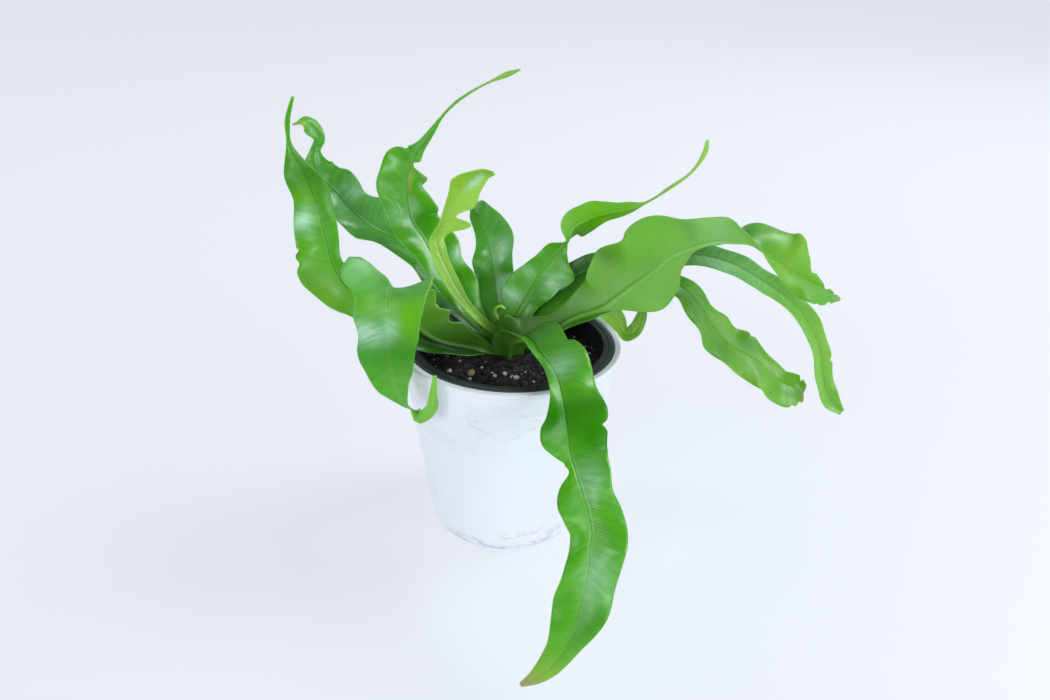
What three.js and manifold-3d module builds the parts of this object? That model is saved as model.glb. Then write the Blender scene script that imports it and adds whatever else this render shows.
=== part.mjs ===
// A potted fern with long waved strap fronds: a white outer pot, a black nursery pot
// inside it, soil with pale grains, a short crown and the fronds that grow from it.
// Millimetres, +Z up, +X to the right, +Y to the back. The origin is the centre of
// the flat underside of the outer pot.
import * as THREE from 'three';
import { mergeVertices } from 'three/addons/utils/BufferGeometryUtils.js';
import Module from 'manifold-3d';

// Outer pot: a straight-sided tapered pot with a plain rim band.
const POT_HEIGHT = 103.3;
const POT_RIM_RADIUS = 56;
const POT_FOOT_RADIUS = 40;
const POT_MOUTH_RADIUS = 52.8;
const POT_FLOOR = 4;
const RIM_BAND_HEIGHT = 3.2;
const RIM_BAND_STEP = 0.5;

// Nursery pot: thin black pot standing on the floor of the outer pot.
const GAP = 0.3;
const NURSERY_TOP = 103;
const NURSERY_RADIUS = 52.3;
const NURSERY_INNER_RADIUS = 47.2;
const NURSERY_WALL = 1.2;
const FLANGE_DEPTH = 3.4;
const GROOVE_RADIUS = 49.8;
const GROOVE_DEPTH = 0.6;
const NURSERY_FOOT_RADIUS = 34.6;
const DRAIN_HOLES = 6;
const DRAIN_HOLE_RADIUS = 4;
const DRAIN_RING_RADIUS = 24;

// Soil, the hole that holds the crown, and the pale grains on top.
const SOIL_TOP = 92;
const SOIL_EDGE_RADIUS = 46.8;
const CROWN_RADIUS = 8;
const CROWN_CENTRE_Y = 3.5;
const CROWN_BOTTOM = 80;

// Pale grains on the soil and one tan pebble: [x, y, radius].
const GRAINS = [
  [-29.4, -16.5, 1.5], [-18.6, -23.6, 1.3], [-6.5, -20.6, 1.3], [-8.2, -17.6, 0.9],
  [-1.7, -18.3, 1.3], [1.8, -20.1, 1.1], [3.9, -21.4, 1.5], [12.6, -23.2, 0.8],
  [-24.8, -6.2, 0.9], [-36.5, -12.4, 0.8], [-13.4, -12.6, 0.8], [8.4, -15.2, 0.7],
  [39.3, 16.1, 1], [41.5, 8.4, 0.8], [34, 26, 1.1], [-38, 14, 1.2], [-24, 30, 1.3],
  [-6, 40, 1.1], [14, 38, 1.4], [28, -18, 1.2], [20, -34, 1.3], [-12, -38, 1],
  [-28, -33, 0.9], [37, -8, 1.2], [2, -32, 0.7],
];
const PEBBLE = [-18.4, -18.9, 2.2];

// Fronds: where they grow from, and how thick they are.
const ROOT_CENTRE_Y = 2;
const BLADE_THICKNESS = 0.75;
const RIB_THICKNESS = 1.7;
const STATION_STEP = 4.6;
const ACROSS = [-1, -0.5, 0, 0.5, 1];

const POT_SIDES = 56;

// Each frond runs along a heading, an angle in degrees from +X towards +Y. A row gives
// [reach, height, drift, roll, left, right, fold]: distance out along the heading,
// height over the pot's underside, offset to the left of the heading, the blade's turn
// about its rib in degrees, the two half widths, and how far the halves fold upwards in
// degrees. pitch is the length of the ruffles along the margin. wave, gather and phase
// hold the left half's value and the right half's: the ruffles' height, how much they
// draw the margin in and out, and where they start. lean, where a frond has it, is how
// far its halves sweep towards the tip for each millimetre away from the rib.
const FRONDS = {
  frond_left_hook: {
    heading: 180, pitch: 24, wave: [1.5, 2], gather: [0.06, 0.06], phase: [0.2, 0.6],
    rows: [
      [7.5, 95.8, 0.3, 0, 2, 1.8, 15],
      [20, 97.5, 6, -5, 5, 6, 12],
      [35, 103, 9, -12, 10, 9, 12],
      [49, 110, 10, -25, 14, 9, 18],
      [61, 118, 9, -30, 15, 8, 20],
      [74, 126, 7, -35, 16, 8, 20],
      [81, 131, 6, -40, 18, 7, 20],
      [86, 138, 4, -50, 20, 6, 20],
      [90, 152, 0, -55, 17, 6, 15],
      [95, 172, -4, -55, 11, 8, 10],
      [101, 186, -6, -50, 9, 4, 10],
      [105, 196, -6, -50, 1.4, 1.4, 0],
      [104, 207, -4, -50, 1.3, 1.4, 0],
      [100, 218, -2, -50, 0.8, 0.8, 0],
    ],
  },
  frond_back_left: {
    heading: 150, pitch: 26, wave: [2, 2], gather: [0.08, 0.08], phase: [0.1, 0.5],
    rows: [
      [8, 95.8, -2.7, -20, 2, 2, 30],
      [24, 107, -1, -20, 13, 7, 25],
      [40, 119, -1, -20, 13, 9, 20],
      [55, 131, -2, -20, 10, 10, 20],
      [69, 140, 0, -20, 12, 11, 20],
      [87, 144, 1, -20, 15, 14, 20],
      [103, 154, 3, -20, 13, 14, 20],
      [108, 160, 4, -20, 13, 12, 20],
      [116, 165, 4, -20, 11, 11, 20],
      [121, 172, 5, -30, 7, 10, 20],
      [122, 180, 3, -30, 3, 3, 20],
      [120, 186, 1, -30, 3.5, 3, 10],
      [122, 192, 3, -30, 5, 4, 0],
      [124, 195, 7, -30, 4, 3, 0],
      [127, 194, 12, -30, 1, 1, 0],
    ],
  },
  frond_left_droop: {
    heading: 235, pitch: 20, wave: [1.2, 0.5], gather: [0.05, 0.03], phase: [0, 0.5],
    rows: [
      [6, 96.3, -2.5, 0, 2, 1.5, 40],
      [11.4, 98.6, -7, 0, 4.5, 2, 50],
      [18, 102, -12, 0, 9, 6, 55],
      [27, 105.5, -17.5, 0, 13, 8, 55],
      [36, 112, -23.5, 0, 15, 11, 50],
      [43, 122, -26, 5, 15, 9, 38],
      [48.5, 132, -27, 5, 15, 8, 32],
      [53, 138.5, -26.5, 0, 16, 8, 28],
      [57, 142.7, -25, -4, 17, 10, 22],
      [60.5, 144.5, -23, -9, 18.5, 23.5, 19],
      [64, 143.1, -20.5, -12, 21.5, 17, 17],
      [67, 138.5, -18.5, -15, 20, 14.5, 14],
      [69, 132, -17, -20, 16.5, 15, 10],
      [69.5, 123, -16.5, -25, 13.5, 14, 5],
      [69.5, 111, -16.5, -25, 12, 13, 8],
      [68.5, 99, -14, -25, 7, 8, 10],
      [66.5, 90, -9.5, 0, 2.5, 2.5, 0],
      [64.5, 87.5, -3, 50, 4.5, 3, 0],
      [63, 92, 2, 60, 3.5, 2.8, 0],
      [63, 100, 3.5, 55, 2, 1.7, 0],
      [62.5, 110, 4.5, 55, 0.8, 0.8, 0],
    ],
  },
  frond_tall_thread: {
    heading: 150, pitch: 24, wave: [1.5, 1.5], gather: [0.06, 0.06], phase: [0.3, 0.8],
    rows: [
      [7, 97, 1.5, -20, 2, 2, 35],
      [15, 107, 5, -20, 5, 5, 25],
      [29, 124, 7, -25, 8, 12, 15],
      [43, 139, 6, -25, 10, 14, 15],
      [51, 147, 4, -25, 13, 14, 15],
      [59, 153, 2, -30, 13, 14, 15],
      [64, 163, -1, -30, 16, 12, 15],
      [67, 170, -4, -30, 17, 9, 15],
      [67, 176, -7, -30, 18, 9, 15],
      [66.8, 179.5, -9.5, -30, 17, 4, 18],
      [66, 183, -12, -30, 12, 3, 20],
      [64.8, 186.5, -14, -30, 7, 2.5, 20],
      [63, 190, -16, -30, 5, 2, 20],
      [60, 195.5, -18, -30, 2.5, 1.5, 10],
      [57, 201, -20, -30, 1, 1, 0],
      [51, 209, -25, -30, 1, 1, 0],
      [36, 220, -35, -30, 1, 1, 0],
      [30, 223, -39, -30, 2, 1, 0],
      [24, 226, -42, -30, 1, 1, 0],
    ],
  },
  frond_young_lime: {
    heading: 150, pitch: 20, wave: [0, 0], gather: [0, 0], phase: [0, 0], lean: 0.45,
    rows: [
      [4.4, 97.3, -0.6, -30, 1.5, 1.3, 40],
      [7.5, 105, 2.4, -30, 2, 2, 32],
      [13, 113, 8, -30, 3, 2, 28],
      [20, 122, 11, -30, 4, 2, 24],
      [24, 129, 13, -30, 5, 3, 22],
      [29, 138, 14, -30, 5, 3, 22],
      [33, 147, 15, -30, 5, 4, 22],
      [35, 152, 14, -30, 4, 4, 22],
      [34.4, 155.4, 12.9, -33, 3.4, 5, 20],
      [33.4, 158.6, 11.6, -35, 2.8, 13, 20],
      [32.2, 163, 10, -37, 3, 4.5, 20],
      [30.6, 168, 7.8, -40, 5, 9, 20],
      [28.6, 172, 5.5, -42, 9.8, 9, 20],
      [26.5, 175.8, 3.6, -45, 9.5, 7.3, 20],
      [22, 181, 1, -45, 7, 5, 20],
      [17, 184, -1, -45, 4.5, 2.5, 10],
      [13, 185, -2, -45, 1.2, 1.2, 0],
    ],
  },
  frond_back_upright: {
    heading: 95, pitch: 20, wave: [1.5, 1.5], gather: [0.06, 0.06], phase: [0, 0.5],
    rows: [
      [5.2, 97, 1.3, 0, 1.6, 1.8, 30],
      [10, 105, 3.5, 0, 6, 5, 20],
      [17, 113, 6, 0, 9, 9, 15],
      [24, 125, 8, 0, 10, 10, 15],
      [29, 134, 9, 0, 10, 12, 15],
      [33, 143, 11, 0, 7, 13, 15],
      [37, 150, 13.5, -20, 5, 13, 20],
      [41, 155, 17, -40, 4, 9, 20],
      [45, 157, 19, -50, 2, 3, 0],
    ],
  },
  frond_right_thread: {
    heading: 35, pitch: 18, wave: [1, 1], gather: [0.06, 0.06], phase: [0, 0.5],
    rows: [
      [3, 97.3, 2, 50, 2, 2, 40],
      [3, 105, 3, 50, 5, 5, 30],
      [4, 111, 4, 50, 8, 8, 20],
      [10, 120, 4, 50, 12, 9, 15],
      [14, 126, 4, 50, 13, 11, 15],
      [19, 132, 4, 50, 9, 14, 15],
      [22, 136, 3, 50, 8, 15, 10],
      [27, 142, 2, 50, 7, 12, 10],
      [31, 146, 1, 20, 4, 3, 0],
      [33, 149, 1, -50, 3, 3, 0],
      [36, 155, 1, -90, 8, 7, 10],
      [43, 159, -1, -90, 10, 9, 15],
      [51, 162, -5, -90, 6, 6, 15],
      [64, 165.3, -12, -90, 2.6, 2.8, 8],
      [67.5, 166.8, -13.8, -90, 1.1, 1.2, 0],
      [79, 175, -20, -90, 1, 1, 0],
      [90, 186, -26, -90, 1, 1, 0],
      [92, 195, -29, -90, 1.5, 1.5, 0],
      [91, 200, -30, -90, 1, 1, 0],
    ],
  },
  frond_big_right: {
    heading: 355, pitch: 26, wave: [1.5, 1.5], gather: [0.06, 0.06], phase: [0, 0.5],
    rows: [
      [-5.4, 99, -3.7, -65, 2.6, 14, 30],
      [1, 100, -4.5, -65, 4, 18, 30],
      [8, 102, -4, -65, 5, 14, 40],
      [17, 107, -1, -65, 7, 10, 45],
      [32, 115, 4, -75, 4.5, 9, 40],
      [46, 122, 4, -80, 5.5, 19, 28],
      [52, 127.5, 4.4, -83, 14, 21, 20],
      [58, 133, 5, -85, 21.5, 23, 15],
      [68, 142, 6, -80, 21, 24, 12],
      [76, 150, 7, -72, 13, 22, 14],
      [85, 155, 7, -62, 12, 18, 25],
      [94, 158, 8, -58, 12, 12, 32],
      [104, 159, 8, -45, 13, 11, 30],
      [112, 159, 8, -10, 15, 11, 20],
      [120, 155, 8, 20, 19, 10, 15],
      [129, 149, 7, 30, 20, 12, 15],
      [139, 144, 7, 30, 12, 18, 15],
      [148, 140, 7, 30, 4, 14, 10],
      [159, 134, 7, 30, 1, 1, 0],
    ],
  },
  frond_long_right: {
    heading: 18, pitch: 26, wave: [1, 1], gather: [0.05, 0.05], phase: [0, 0.5],
    rows: [
      [5, 96.8, 5, 45, 2.5, 2, 30],
      [11, 104, 8, 45, 5, 5, 30],
      [26, 118, 13, 45, 10, 9, 20],
      [44, 129, 13, 45, 9, 10, 20],
      [62, 134, 10, 45, 7, 8, 20],
      [82, 138, 5, 45, 7, 7, 20],
      [100, 140, 0, 45, 7, 8, 20],
      [117, 136, -4, 55, 6, 8, 20],
      [136, 126, -9, 60, 6, 8, 20],
      [152, 115, -15, 65, 6, 7, 20],
      [163, 103, -18, 75, 6, 7, 20],
      [171, 88, -22, 75, 6, 8, 20],
      [175, 72, -25, 75, 6, 9, 20],
      [179, 59, -29, 75, 6, 7, 20],
      [186, 51, -34, 75, 2, 2, 10],
    ],
  },
  frond_lower_right: {
    heading: 12, pitch: 24, wave: [1.5, 1.5], gather: [0.06, 0.06], phase: [0, 0.5],
    rows: [
      [7.5, 96.4, 0, 45, 2, 2.5, 30],
      [20, 101, 10, 45, 4, 5, 20],
      [40, 108, 15, 45, 7, 7, 20],
      [62, 115, 16, 45, 8, 7, 20],
      [77, 120, 14, 45, 7, 7, 20],
      [90, 123, 12, 45, 6, 8, 15],
      [103, 113, 9, 45, 7, 17, 15],
      [112, 100, 7, 45, 9, 20, 15],
      [124, 88, 4, 45, 12, 16, 15],
      [140, 79, 1, 45, 9, 19, 15],
      [154, 67, -3, 45, 7, 17, 15],
      [162, 64, -6, 45, 8, 13, 15],
      [167, 61, -7, 45, 5, 6, 15],
    ],
  },
  frond_back_right: {
    heading: 35, pitch: 22, wave: [1, 1], gather: [0.05, 0.05], phase: [0, 0.5],
    rows: [
      [7.8, 95.4, 4.8, 20, 2, 2, 30],
      [27, 104, 12, 25, 6, 5, 20],
      [46, 108, 10, 40, 8, 6, 20],
      [58, 107, 6, 62, 8, 5, 15],
      [66.5, 101, 4.4, 75, 6, 7, 12],
      [74.5, 92, 1.4, 78, 5, 5.5, 10],
      [79, 84.8, 0, 60, 4, 4, 10],
      [83, 86, -2, 25, 4.8, 3.6, 10],
      [86, 95, -3, 20, 3.5, 3.5, 0],
      [87, 103, -3, 20, 2, 2, 0],
    ],
  },
  frond_front: {
    heading: 278, pitch: 28.5, wave: [2.5, 3], gather: [0.03, 0], phase: [0.3, 0.85],
    rows: [
      [6, 95.3, -1, 0, 7, 6, 6],
      [9.5, 102.5, -1, 0, 8.5, 9.5, 10],
      [13, 107.5, 1, 0, 9.5, 9.5, 25],
      [19, 112, 4, 0, 11, 8, 30],
      [27, 115, 7, 0, 14, 7, 25],
      [38, 115, 9, 0, 17, 5, 20],
      [48, 113, 13, 0, 16, 4, 15],
      [56, 111, 15, 0, 16, 5, 12],
      [66, 107, 16, 0, 17, 6, 12],
      [75, 103, 16, 0, 17, 8.5, 12],
      [83, 99, 16, 0, 17, 12.5, 10],
      [88, 95, 16, 0, 17, 12, 10],
      [92, 92, 16.5, 0, 16, 6, 10],
      [96, 89, 17.5, 0, 14, 3, 10],
      [100, 86, 18.5, 0, 13, 8.5, 10],
      [105, 81.5, 20, 0, 12.5, 12.5, 10],
      [110, 76.5, 21.5, 0, 14.5, 12, 10],
      [115, 71, 22, 0, 14.5, 9.5, 8],
      [118, 67, 21, 0, 14, 8.5, 8],
      [123, 60, 20, 0, 13, 10.5, 8],
      [129, 50, 17, 0, 12.5, 12, 8],
      [134, 41, 13, 0, 9.5, 10, 5],
      [139, 30, 6, 0, 6.5, 6.5, 5],
      [142, 22, -3, 0, 3.5, 3, 0],
      [143, 19, -9, 0, 1, 1, 0],
    ],
  },
  young_crozier: {
    heading: 180, pitch: 20, wave: [0, 0], gather: [0, 0], phase: [0, 0],
    rows: [
      [2.4, 97.3, -0.4, 0, 1.1, 1.1, 30],
      [4.2, 106, 0, 0, 1.4, 1.4, 30],
      [6, 112, 0, 0, 1.5, 1.5, 30],
      [8, 116, -1, 0, 1.5, 1.5, 20],
      [7.5, 119, -1, 0, 1.5, 1.5, 10],
      [5, 120, -1, 0, 1.3, 1.3, 10],
      [3, 118.5, -1, 0, 1, 1, 0],
    ],
  },
};

const MATERIALS = {
  leaf: new THREE.MeshStandardMaterial({ color: 0x3c9a22, roughness: 0.38 }),
  backLeaf: new THREE.MeshStandardMaterial({ color: 0x348a35, roughness: 0.38 }),
  youngLeaf: new THREE.MeshStandardMaterial({ color: 0x9ccb2e, roughness: 0.35 }),
  glaze: new THREE.MeshStandardMaterial({ color: 0xeff1f6, roughness: 0.3 }),
  blackPlastic: new THREE.MeshStandardMaterial({ color: 0x17171a, roughness: 0.45 }),
  soil: new THREE.MeshStandardMaterial({ color: 0x1d1613, roughness: 0.95 }),
  rhizome: new THREE.MeshStandardMaterial({ color: 0x4a3a26, roughness: 0.9 }),
};

const wasm = await Module();
wasm.setup();

const vec = (x, y, z) => new THREE.Vector3(x, y, z);
const radians = THREE.MathUtils.degToRad;

function geometryOf(points, triangles) {
  const geometry = new THREE.BufferGeometry();
  const position = new Float32Array(points.flatMap((p) => [p.x, p.y, p.z]));
  geometry.setAttribute('position', new THREE.BufferAttribute(position, 3));
  geometry.setIndex(triangles);
  geometry.computeVertexNormals();
  return geometry;
}

function solidOf(geometry) {
  const bare = geometry.clone();
  bare.deleteAttribute('normal');
  bare.deleteAttribute('uv');
  const merged = mergeVertices(bare, 1e-4);
  return new wasm.Manifold(new wasm.Mesh({
    numProp: 3,
    vertProperties: new Float32Array(merged.attributes.position.array),
    triVerts: new Uint32Array(merged.index.array),
  }));
}

function geometryFrom(solid) {
  const mesh = solid.getMesh();
  const geometry = new THREE.BufferGeometry();
  const position = new Float32Array(mesh.numVert * 3);
  for (let i = 0; i < mesh.numVert; i += 1) {
    const start = i * mesh.numProp;
    position.set(mesh.vertProperties.subarray(start, start + 3), i * 3);
  }
  geometry.setAttribute('position', new THREE.BufferAttribute(position, 3));
  geometry.setIndex(new THREE.BufferAttribute(mesh.triVerts, 1));
  geometry.computeVertexNormals();
  return geometry;
}

// A body of revolution about the vertical axis. The profile runs from the bottom of
// the axis round the outside to the top.
function turned(profile, sides = POT_SIDES) {
  const points = profile.map(([r, z]) => new THREE.Vector2(r, z));
  const geometry = new THREE.LatheGeometry(points, sides);
  geometry.rotateX(Math.PI / 2);
  return geometry;
}

function namedMesh(name, geometry, material) {
  const mesh = new THREE.Mesh(geometry, material);
  mesh.name = name;
  return mesh;
}

function outerRadiusAt(z) {
  return POT_FOOT_RADIUS + (POT_RIM_RADIUS - RIM_BAND_STEP - POT_FOOT_RADIUS) * z / POT_HEIGHT;
}

function outerPot() {
  const bandBottom = POT_HEIGHT - RIM_BAND_HEIGHT;
  return namedMesh('outer_pot', turned([
    [0, 0],
    [POT_FOOT_RADIUS - 1, 0],
    [POT_FOOT_RADIUS, 1],
    [outerRadiusAt(bandBottom), bandBottom],
    [POT_RIM_RADIUS, bandBottom + 0.6],
    [POT_RIM_RADIUS, POT_HEIGHT - 0.8],
    [POT_RIM_RADIUS - 0.8, POT_HEIGHT],
    [POT_MOUTH_RADIUS + 0.6, POT_HEIGHT],
    [POT_MOUTH_RADIUS, POT_HEIGHT - 0.8],
    [POT_MOUTH_RADIUS - 0.4, NURSERY_TOP - 12],
    [POT_FOOT_RADIUS - 3.4, POT_FLOOR + 1],
    [POT_FOOT_RADIUS - 4.4, POT_FLOOR],
    [0, POT_FLOOR],
  ]), MATERIALS.glaze);
}

function drainHoleCutter(index) {
  const angle = (index / DRAIN_HOLES) * Math.PI * 2;
  const hole = new THREE.CylinderGeometry(DRAIN_HOLE_RADIUS, DRAIN_HOLE_RADIUS, 6, 12);
  hole.rotateX(Math.PI / 2);
  const x = DRAIN_RING_RADIUS * Math.cos(angle);
  const y = DRAIN_RING_RADIUS * Math.sin(angle);
  hole.translate(x, y, POT_FLOOR + GAP + NURSERY_WALL / 2);
  return solidOf(hole);
}

function nurseryPot() {
  const floor = POT_FLOOR + GAP;
  const [outer, inner, top] = [NURSERY_RADIUS, NURSERY_INNER_RADIUS, NURSERY_TOP];
  const body = turned([
    [0, floor],
    [NURSERY_FOOT_RADIUS, floor],
    [inner + NURSERY_WALL, top - 10],
    [inner + NURSERY_WALL, top - 1.4],
    [outer - NURSERY_WALL, top - 1.4],
    [outer - 0.9, top - FLANGE_DEPTH],
    [outer - 0.1, top - FLANGE_DEPTH],
    [outer, top - 0.5],
    [outer - 0.4, top],
    [GROOVE_RADIUS + 0.6, top],
    [GROOVE_RADIUS, top - GROOVE_DEPTH],
    [GROOVE_RADIUS - 0.6, top],
    [inner + 0.6, top],
    [inner, top - 0.7],
    [inner, top - 10],
    [NURSERY_FOOT_RADIUS - NURSERY_WALL, floor + NURSERY_WALL],
    [0, floor + NURSERY_WALL],
  ]);
  let solid = solidOf(body);
  for (let i = 0; i < DRAIN_HOLES; i += 1) {
    solid = solid.subtract(drainHoleCutter(i));
  }
  return namedMesh('nursery_pot', geometryFrom(solid), MATERIALS.blackPlastic);
}

function soilHeight(x, y) {
  const crumbs = 0.35 * Math.sin(x * 0.9 + 1) * Math.cos(y * 0.8)
    + 0.3 * Math.sin(x * 0.37 - y * 0.53);
  const mound = 1.6 * Math.exp(-(x * x + y * y) / 500);
  return SOIL_TOP + mound + crumbs;
}

function grainSolid(x, y, radius, spin) {
  const grain = new THREE.IcosahedronGeometry(radius, 0);
  grain.rotateZ(spin);
  grain.scale(1, 0.85, 0.9);
  grain.translate(x, y, soilHeight(x, y));
  return solidOf(grain);
}

function crownHoleCutter() {
  const radius = CROWN_RADIUS + GAP;
  const height = 20;
  const hole = new THREE.CylinderGeometry(radius, radius, height, 24);
  hole.rotateX(Math.PI / 2);
  hole.translate(0, CROWN_CENTRE_Y, CROWN_BOTTOM + height / 2);
  return solidOf(hole);
}

function soil() {
  const bottom = POT_FLOOR + 2 * GAP + NURSERY_WALL;
  const rings = [42, 37, 32, 26, 20, 15, 10, 5];
  const body = turned([
    [0, bottom],
    [NURSERY_FOOT_RADIUS - NURSERY_WALL - 0.5, bottom],
    [SOIL_EDGE_RADIUS - 1, SOIL_TOP - 4],
    [SOIL_EDGE_RADIUS, SOIL_TOP],
    ...rings.map((r) => [r, SOIL_TOP]),
    [0, SOIL_TOP],
  ], 40);
  const position = body.attributes.position;
  for (let i = 0; i < position.count; i += 1) {
    const [x, y, z] = [position.getX(i), position.getY(i), position.getZ(i)];
    if (z > SOIL_TOP - 0.1) {
      position.setZ(i, soilHeight(x, y));
    }
  }
  let solid = solidOf(body);
  for (const [x, y, radius] of [...GRAINS, PEBBLE]) {
    solid = solid.add(grainSolid(x, y, radius, x + y));
  }
  solid = solid.subtract(crownHoleCutter());
  return namedMesh('soil', geometryFrom(solid), MATERIALS.soil);
}

function crown() {
  const body = turned([
    [0, CROWN_BOTTOM + GAP],
    [CROWN_RADIUS - 2, CROWN_BOTTOM + GAP],
    [CROWN_RADIUS, CROWN_BOTTOM + 3],
    [CROWN_RADIUS, SOIL_TOP + 0.6],
    [CROWN_RADIUS - 0.5, SOIL_TOP + 2.4],
    [CROWN_RADIUS - 2, SOIL_TOP + 3.6],
    [CROWN_RADIUS - 4.5, SOIL_TOP + 4.4],
    [0, SOIL_TOP + 4.8],
  ], 24);
  body.translate(0, CROWN_CENTRE_Y, 0);
  return namedMesh('crown', body, MATERIALS.rhizome);
}

// Distances along the chords between rows, where each row sits.
function knotsOf(rows) {
  const knots = [0];
  for (let i = 1; i < rows.length; i += 1) {
    const a = rows[i - 1];
    const b = rows[i];
    knots.push(knots[i - 1] + Math.hypot(b[0] - a[0], b[1] - a[1], b[2] - a[2]));
  }
  return knots;
}

function slopesOf(rows, knots) {
  const last = rows.length - 1;
  const rate = (i) => rows[i].map(
    (value, k) => (rows[i + 1][k] - value) / (knots[i + 1] - knots[i]),
  );
  return rows.map((row, i) => {
    if (i === 0) return rate(0);
    if (i === last) return rate(last - 1);
    const before = rate(i - 1);
    const after = rate(i);
    const h0 = knots[i] - knots[i - 1];
    const h1 = knots[i + 1] - knots[i];
    return row.map((_, k) => (before[k] * h1 + after[k] * h0) / (h0 + h1));
  });
}

// A smooth cubic through the rows, with its rate of change.
function smoothRow(rows, knots, slopes, t) {
  let i = 0;
  while (i < rows.length - 2 && t >= knots[i + 1]) i += 1;
  const h = knots[i + 1] - knots[i];
  const u = (t - knots[i]) / h;
  const u2 = u * u;
  const u3 = u2 * u;
  const value = rows[i].map((a, k) => (2 * u3 - 3 * u2 + 1) * a
    + (u3 - 2 * u2 + u) * h * slopes[i][k]
    + (3 * u2 - 2 * u3) * rows[i + 1][k]
    + (u3 - u2) * h * slopes[i + 1][k]);
  const rate = rows[i].map((a, k) => ((6 * u2 - 6 * u) * (a - rows[i + 1][k])) / h
    + (3 * u2 - 4 * u + 1) * slopes[i][k]
    + (3 * u2 - 2 * u) * slopes[i + 1][k]);
  return { value, rate };
}

// The rib's position with the directions to the blade's left side and upper face.
function ribFrame(heading, value, rate) {
  const angle = radians(heading);
  const out = vec(Math.cos(angle), Math.sin(angle), 0);
  const left = vec(-Math.sin(angle), Math.cos(angle), 0);
  const up = vec(0, 0, 1);
  const mix = ([r, h, d]) => vec(0, 0, 0)
    .addScaledVector(out, r).addScaledVector(up, h).addScaledVector(left, d);
  const along = mix(rate).normalize();
  const side = left.clone().addScaledVector(along, -left.dot(along)).normalize();
  const face = along.clone().cross(side);
  const roll = radians(value[3]);
  return {
    along,
    rib: mix(value).add(vec(0, ROOT_CENTRE_Y, 0)),
    side: side.clone().multiplyScalar(Math.cos(roll)).addScaledVector(face, Math.sin(roll)),
    face: face.clone().multiplyScalar(Math.cos(roll)).addScaledVector(side, -Math.sin(roll)),
  };
}

// One cross-section of the upper face, from the right margin to the left one.
function crossSection(frond, frame, value, t, length) {
  const [, , , , leftWidth, rightWidth, foldDegrees] = value;
  const fold = radians(foldDegrees);
  const ends = Math.min(1, t / (0.15 * length), (length - t) / (0.12 * length));
  return ACROSS.map((across) => {
    const isLeft = across >= 0;
    const half = isLeft ? 0 : 1;
    const turn = 2 * Math.PI * (t / frond.pitch + frond.phase[half]);
    const ruffle = ends * Math.sin(turn);
    const full = Math.max(0.6, isLeft ? leftWidth : rightWidth);
    const reach = Math.abs(across) * full * (1 + frond.gather[half] * ruffle);
    const wave = frond.wave[half] * ruffle * Math.min(1.2, full / 15) * Math.abs(across) ** 1.6;
    return frame.rib.clone()
      .addScaledVector(frame.along, (frond.lean || 0) * reach)
      .addScaledVector(frame.side, Math.sign(across) * Math.cos(fold) * reach)
      .addScaledVector(frame.face, Math.sin(fold) * reach + wave);
  });
}

function surfaceNormal(grid, i, j) {
  const a = grid[Math.max(0, i - 1)][j];
  const b = grid[Math.min(grid.length - 1, i + 1)][j];
  const c = grid[i][Math.max(0, j - 1)];
  const d = grid[i][Math.min(ACROSS.length - 1, j + 1)];
  return b.clone().sub(a).cross(d.clone().sub(c)).normalize();
}

// The upper face as a grid of points, and the lower face a blade's thickness under it.
function frondFaces(frond) {
  const knots = knotsOf(frond.rows);
  const slopes = slopesOf(frond.rows, knots);
  const length = knots[knots.length - 1];
  const steps = Math.round(length / STATION_STEP);
  const upper = [];
  for (let i = 0; i <= steps; i += 1) {
    const t = (length * i) / steps;
    const { value, rate } = smoothRow(frond.rows, knots, slopes, t);
    const frame = ribFrame(frond.heading, value, rate);
    upper.push(crossSection(frond, frame, value, t, length));
  }
  const lower = upper.map((section, i) => section.map((point, j) => {
    const rib = (RIB_THICKNESS - BLADE_THICKNESS) * (1 - i / steps);
    const depth = BLADE_THICKNESS + (ACROSS[j] === 0 ? rib : 0);
    return point.clone().addScaledVector(surfaceNormal(upper, i, j), -depth);
  }));
  return { upper, lower };
}

function frondGeometry(frond) {
  const { upper, lower } = frondFaces(frond);
  const columns = ACROSS.length;
  const points = [...upper.flat(), ...lower.flat()];
  const below = upper.length * columns;
  const triangles = [];
  const quad = (a, b, c, d) => triangles.push(a, b, c, a, c, d);
  for (let i = 0; i < upper.length - 1; i += 1) {
    const row = i * columns;
    const next = row + columns;
    for (let j = 0; j < columns - 1; j += 1) {
      quad(row + j, next + j, next + j + 1, row + j + 1);
      triangles.push(below + row + j, below + next + j + 1, below + next + j);
      triangles.push(below + row + j, below + row + j + 1, below + next + j + 1);
    }
    const edge = columns - 1;
    quad(row, below + row, below + next, next);
    quad(row + edge, next + edge, below + next + edge, below + row + edge);
  }
  const tip = (upper.length - 1) * columns;
  for (let j = 0; j < columns - 1; j += 1) {
    quad(j, j + 1, below + j + 1, below + j);
    quad(tip + j, below + tip + j, below + tip + j + 1, tip + j + 1);
  }
  return geometryOf(points, triangles);
}

function frondMaterial(name) {
  if (name.includes('young')) return MATERIALS.youngLeaf;
  if (name.includes('back')) return MATERIALS.backLeaf;
  return MATERIALS.leaf;
}

const fern = new THREE.Group();
fern.name = 'potted_fern';
fern.add(outerPot(), nurseryPot(), soil(), crown());
for (const [name, frond] of Object.entries(FRONDS)) {
  fern.add(namedMesh(name, frondGeometry(frond), frondMaterial(name)));
}

export default fern;
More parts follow.
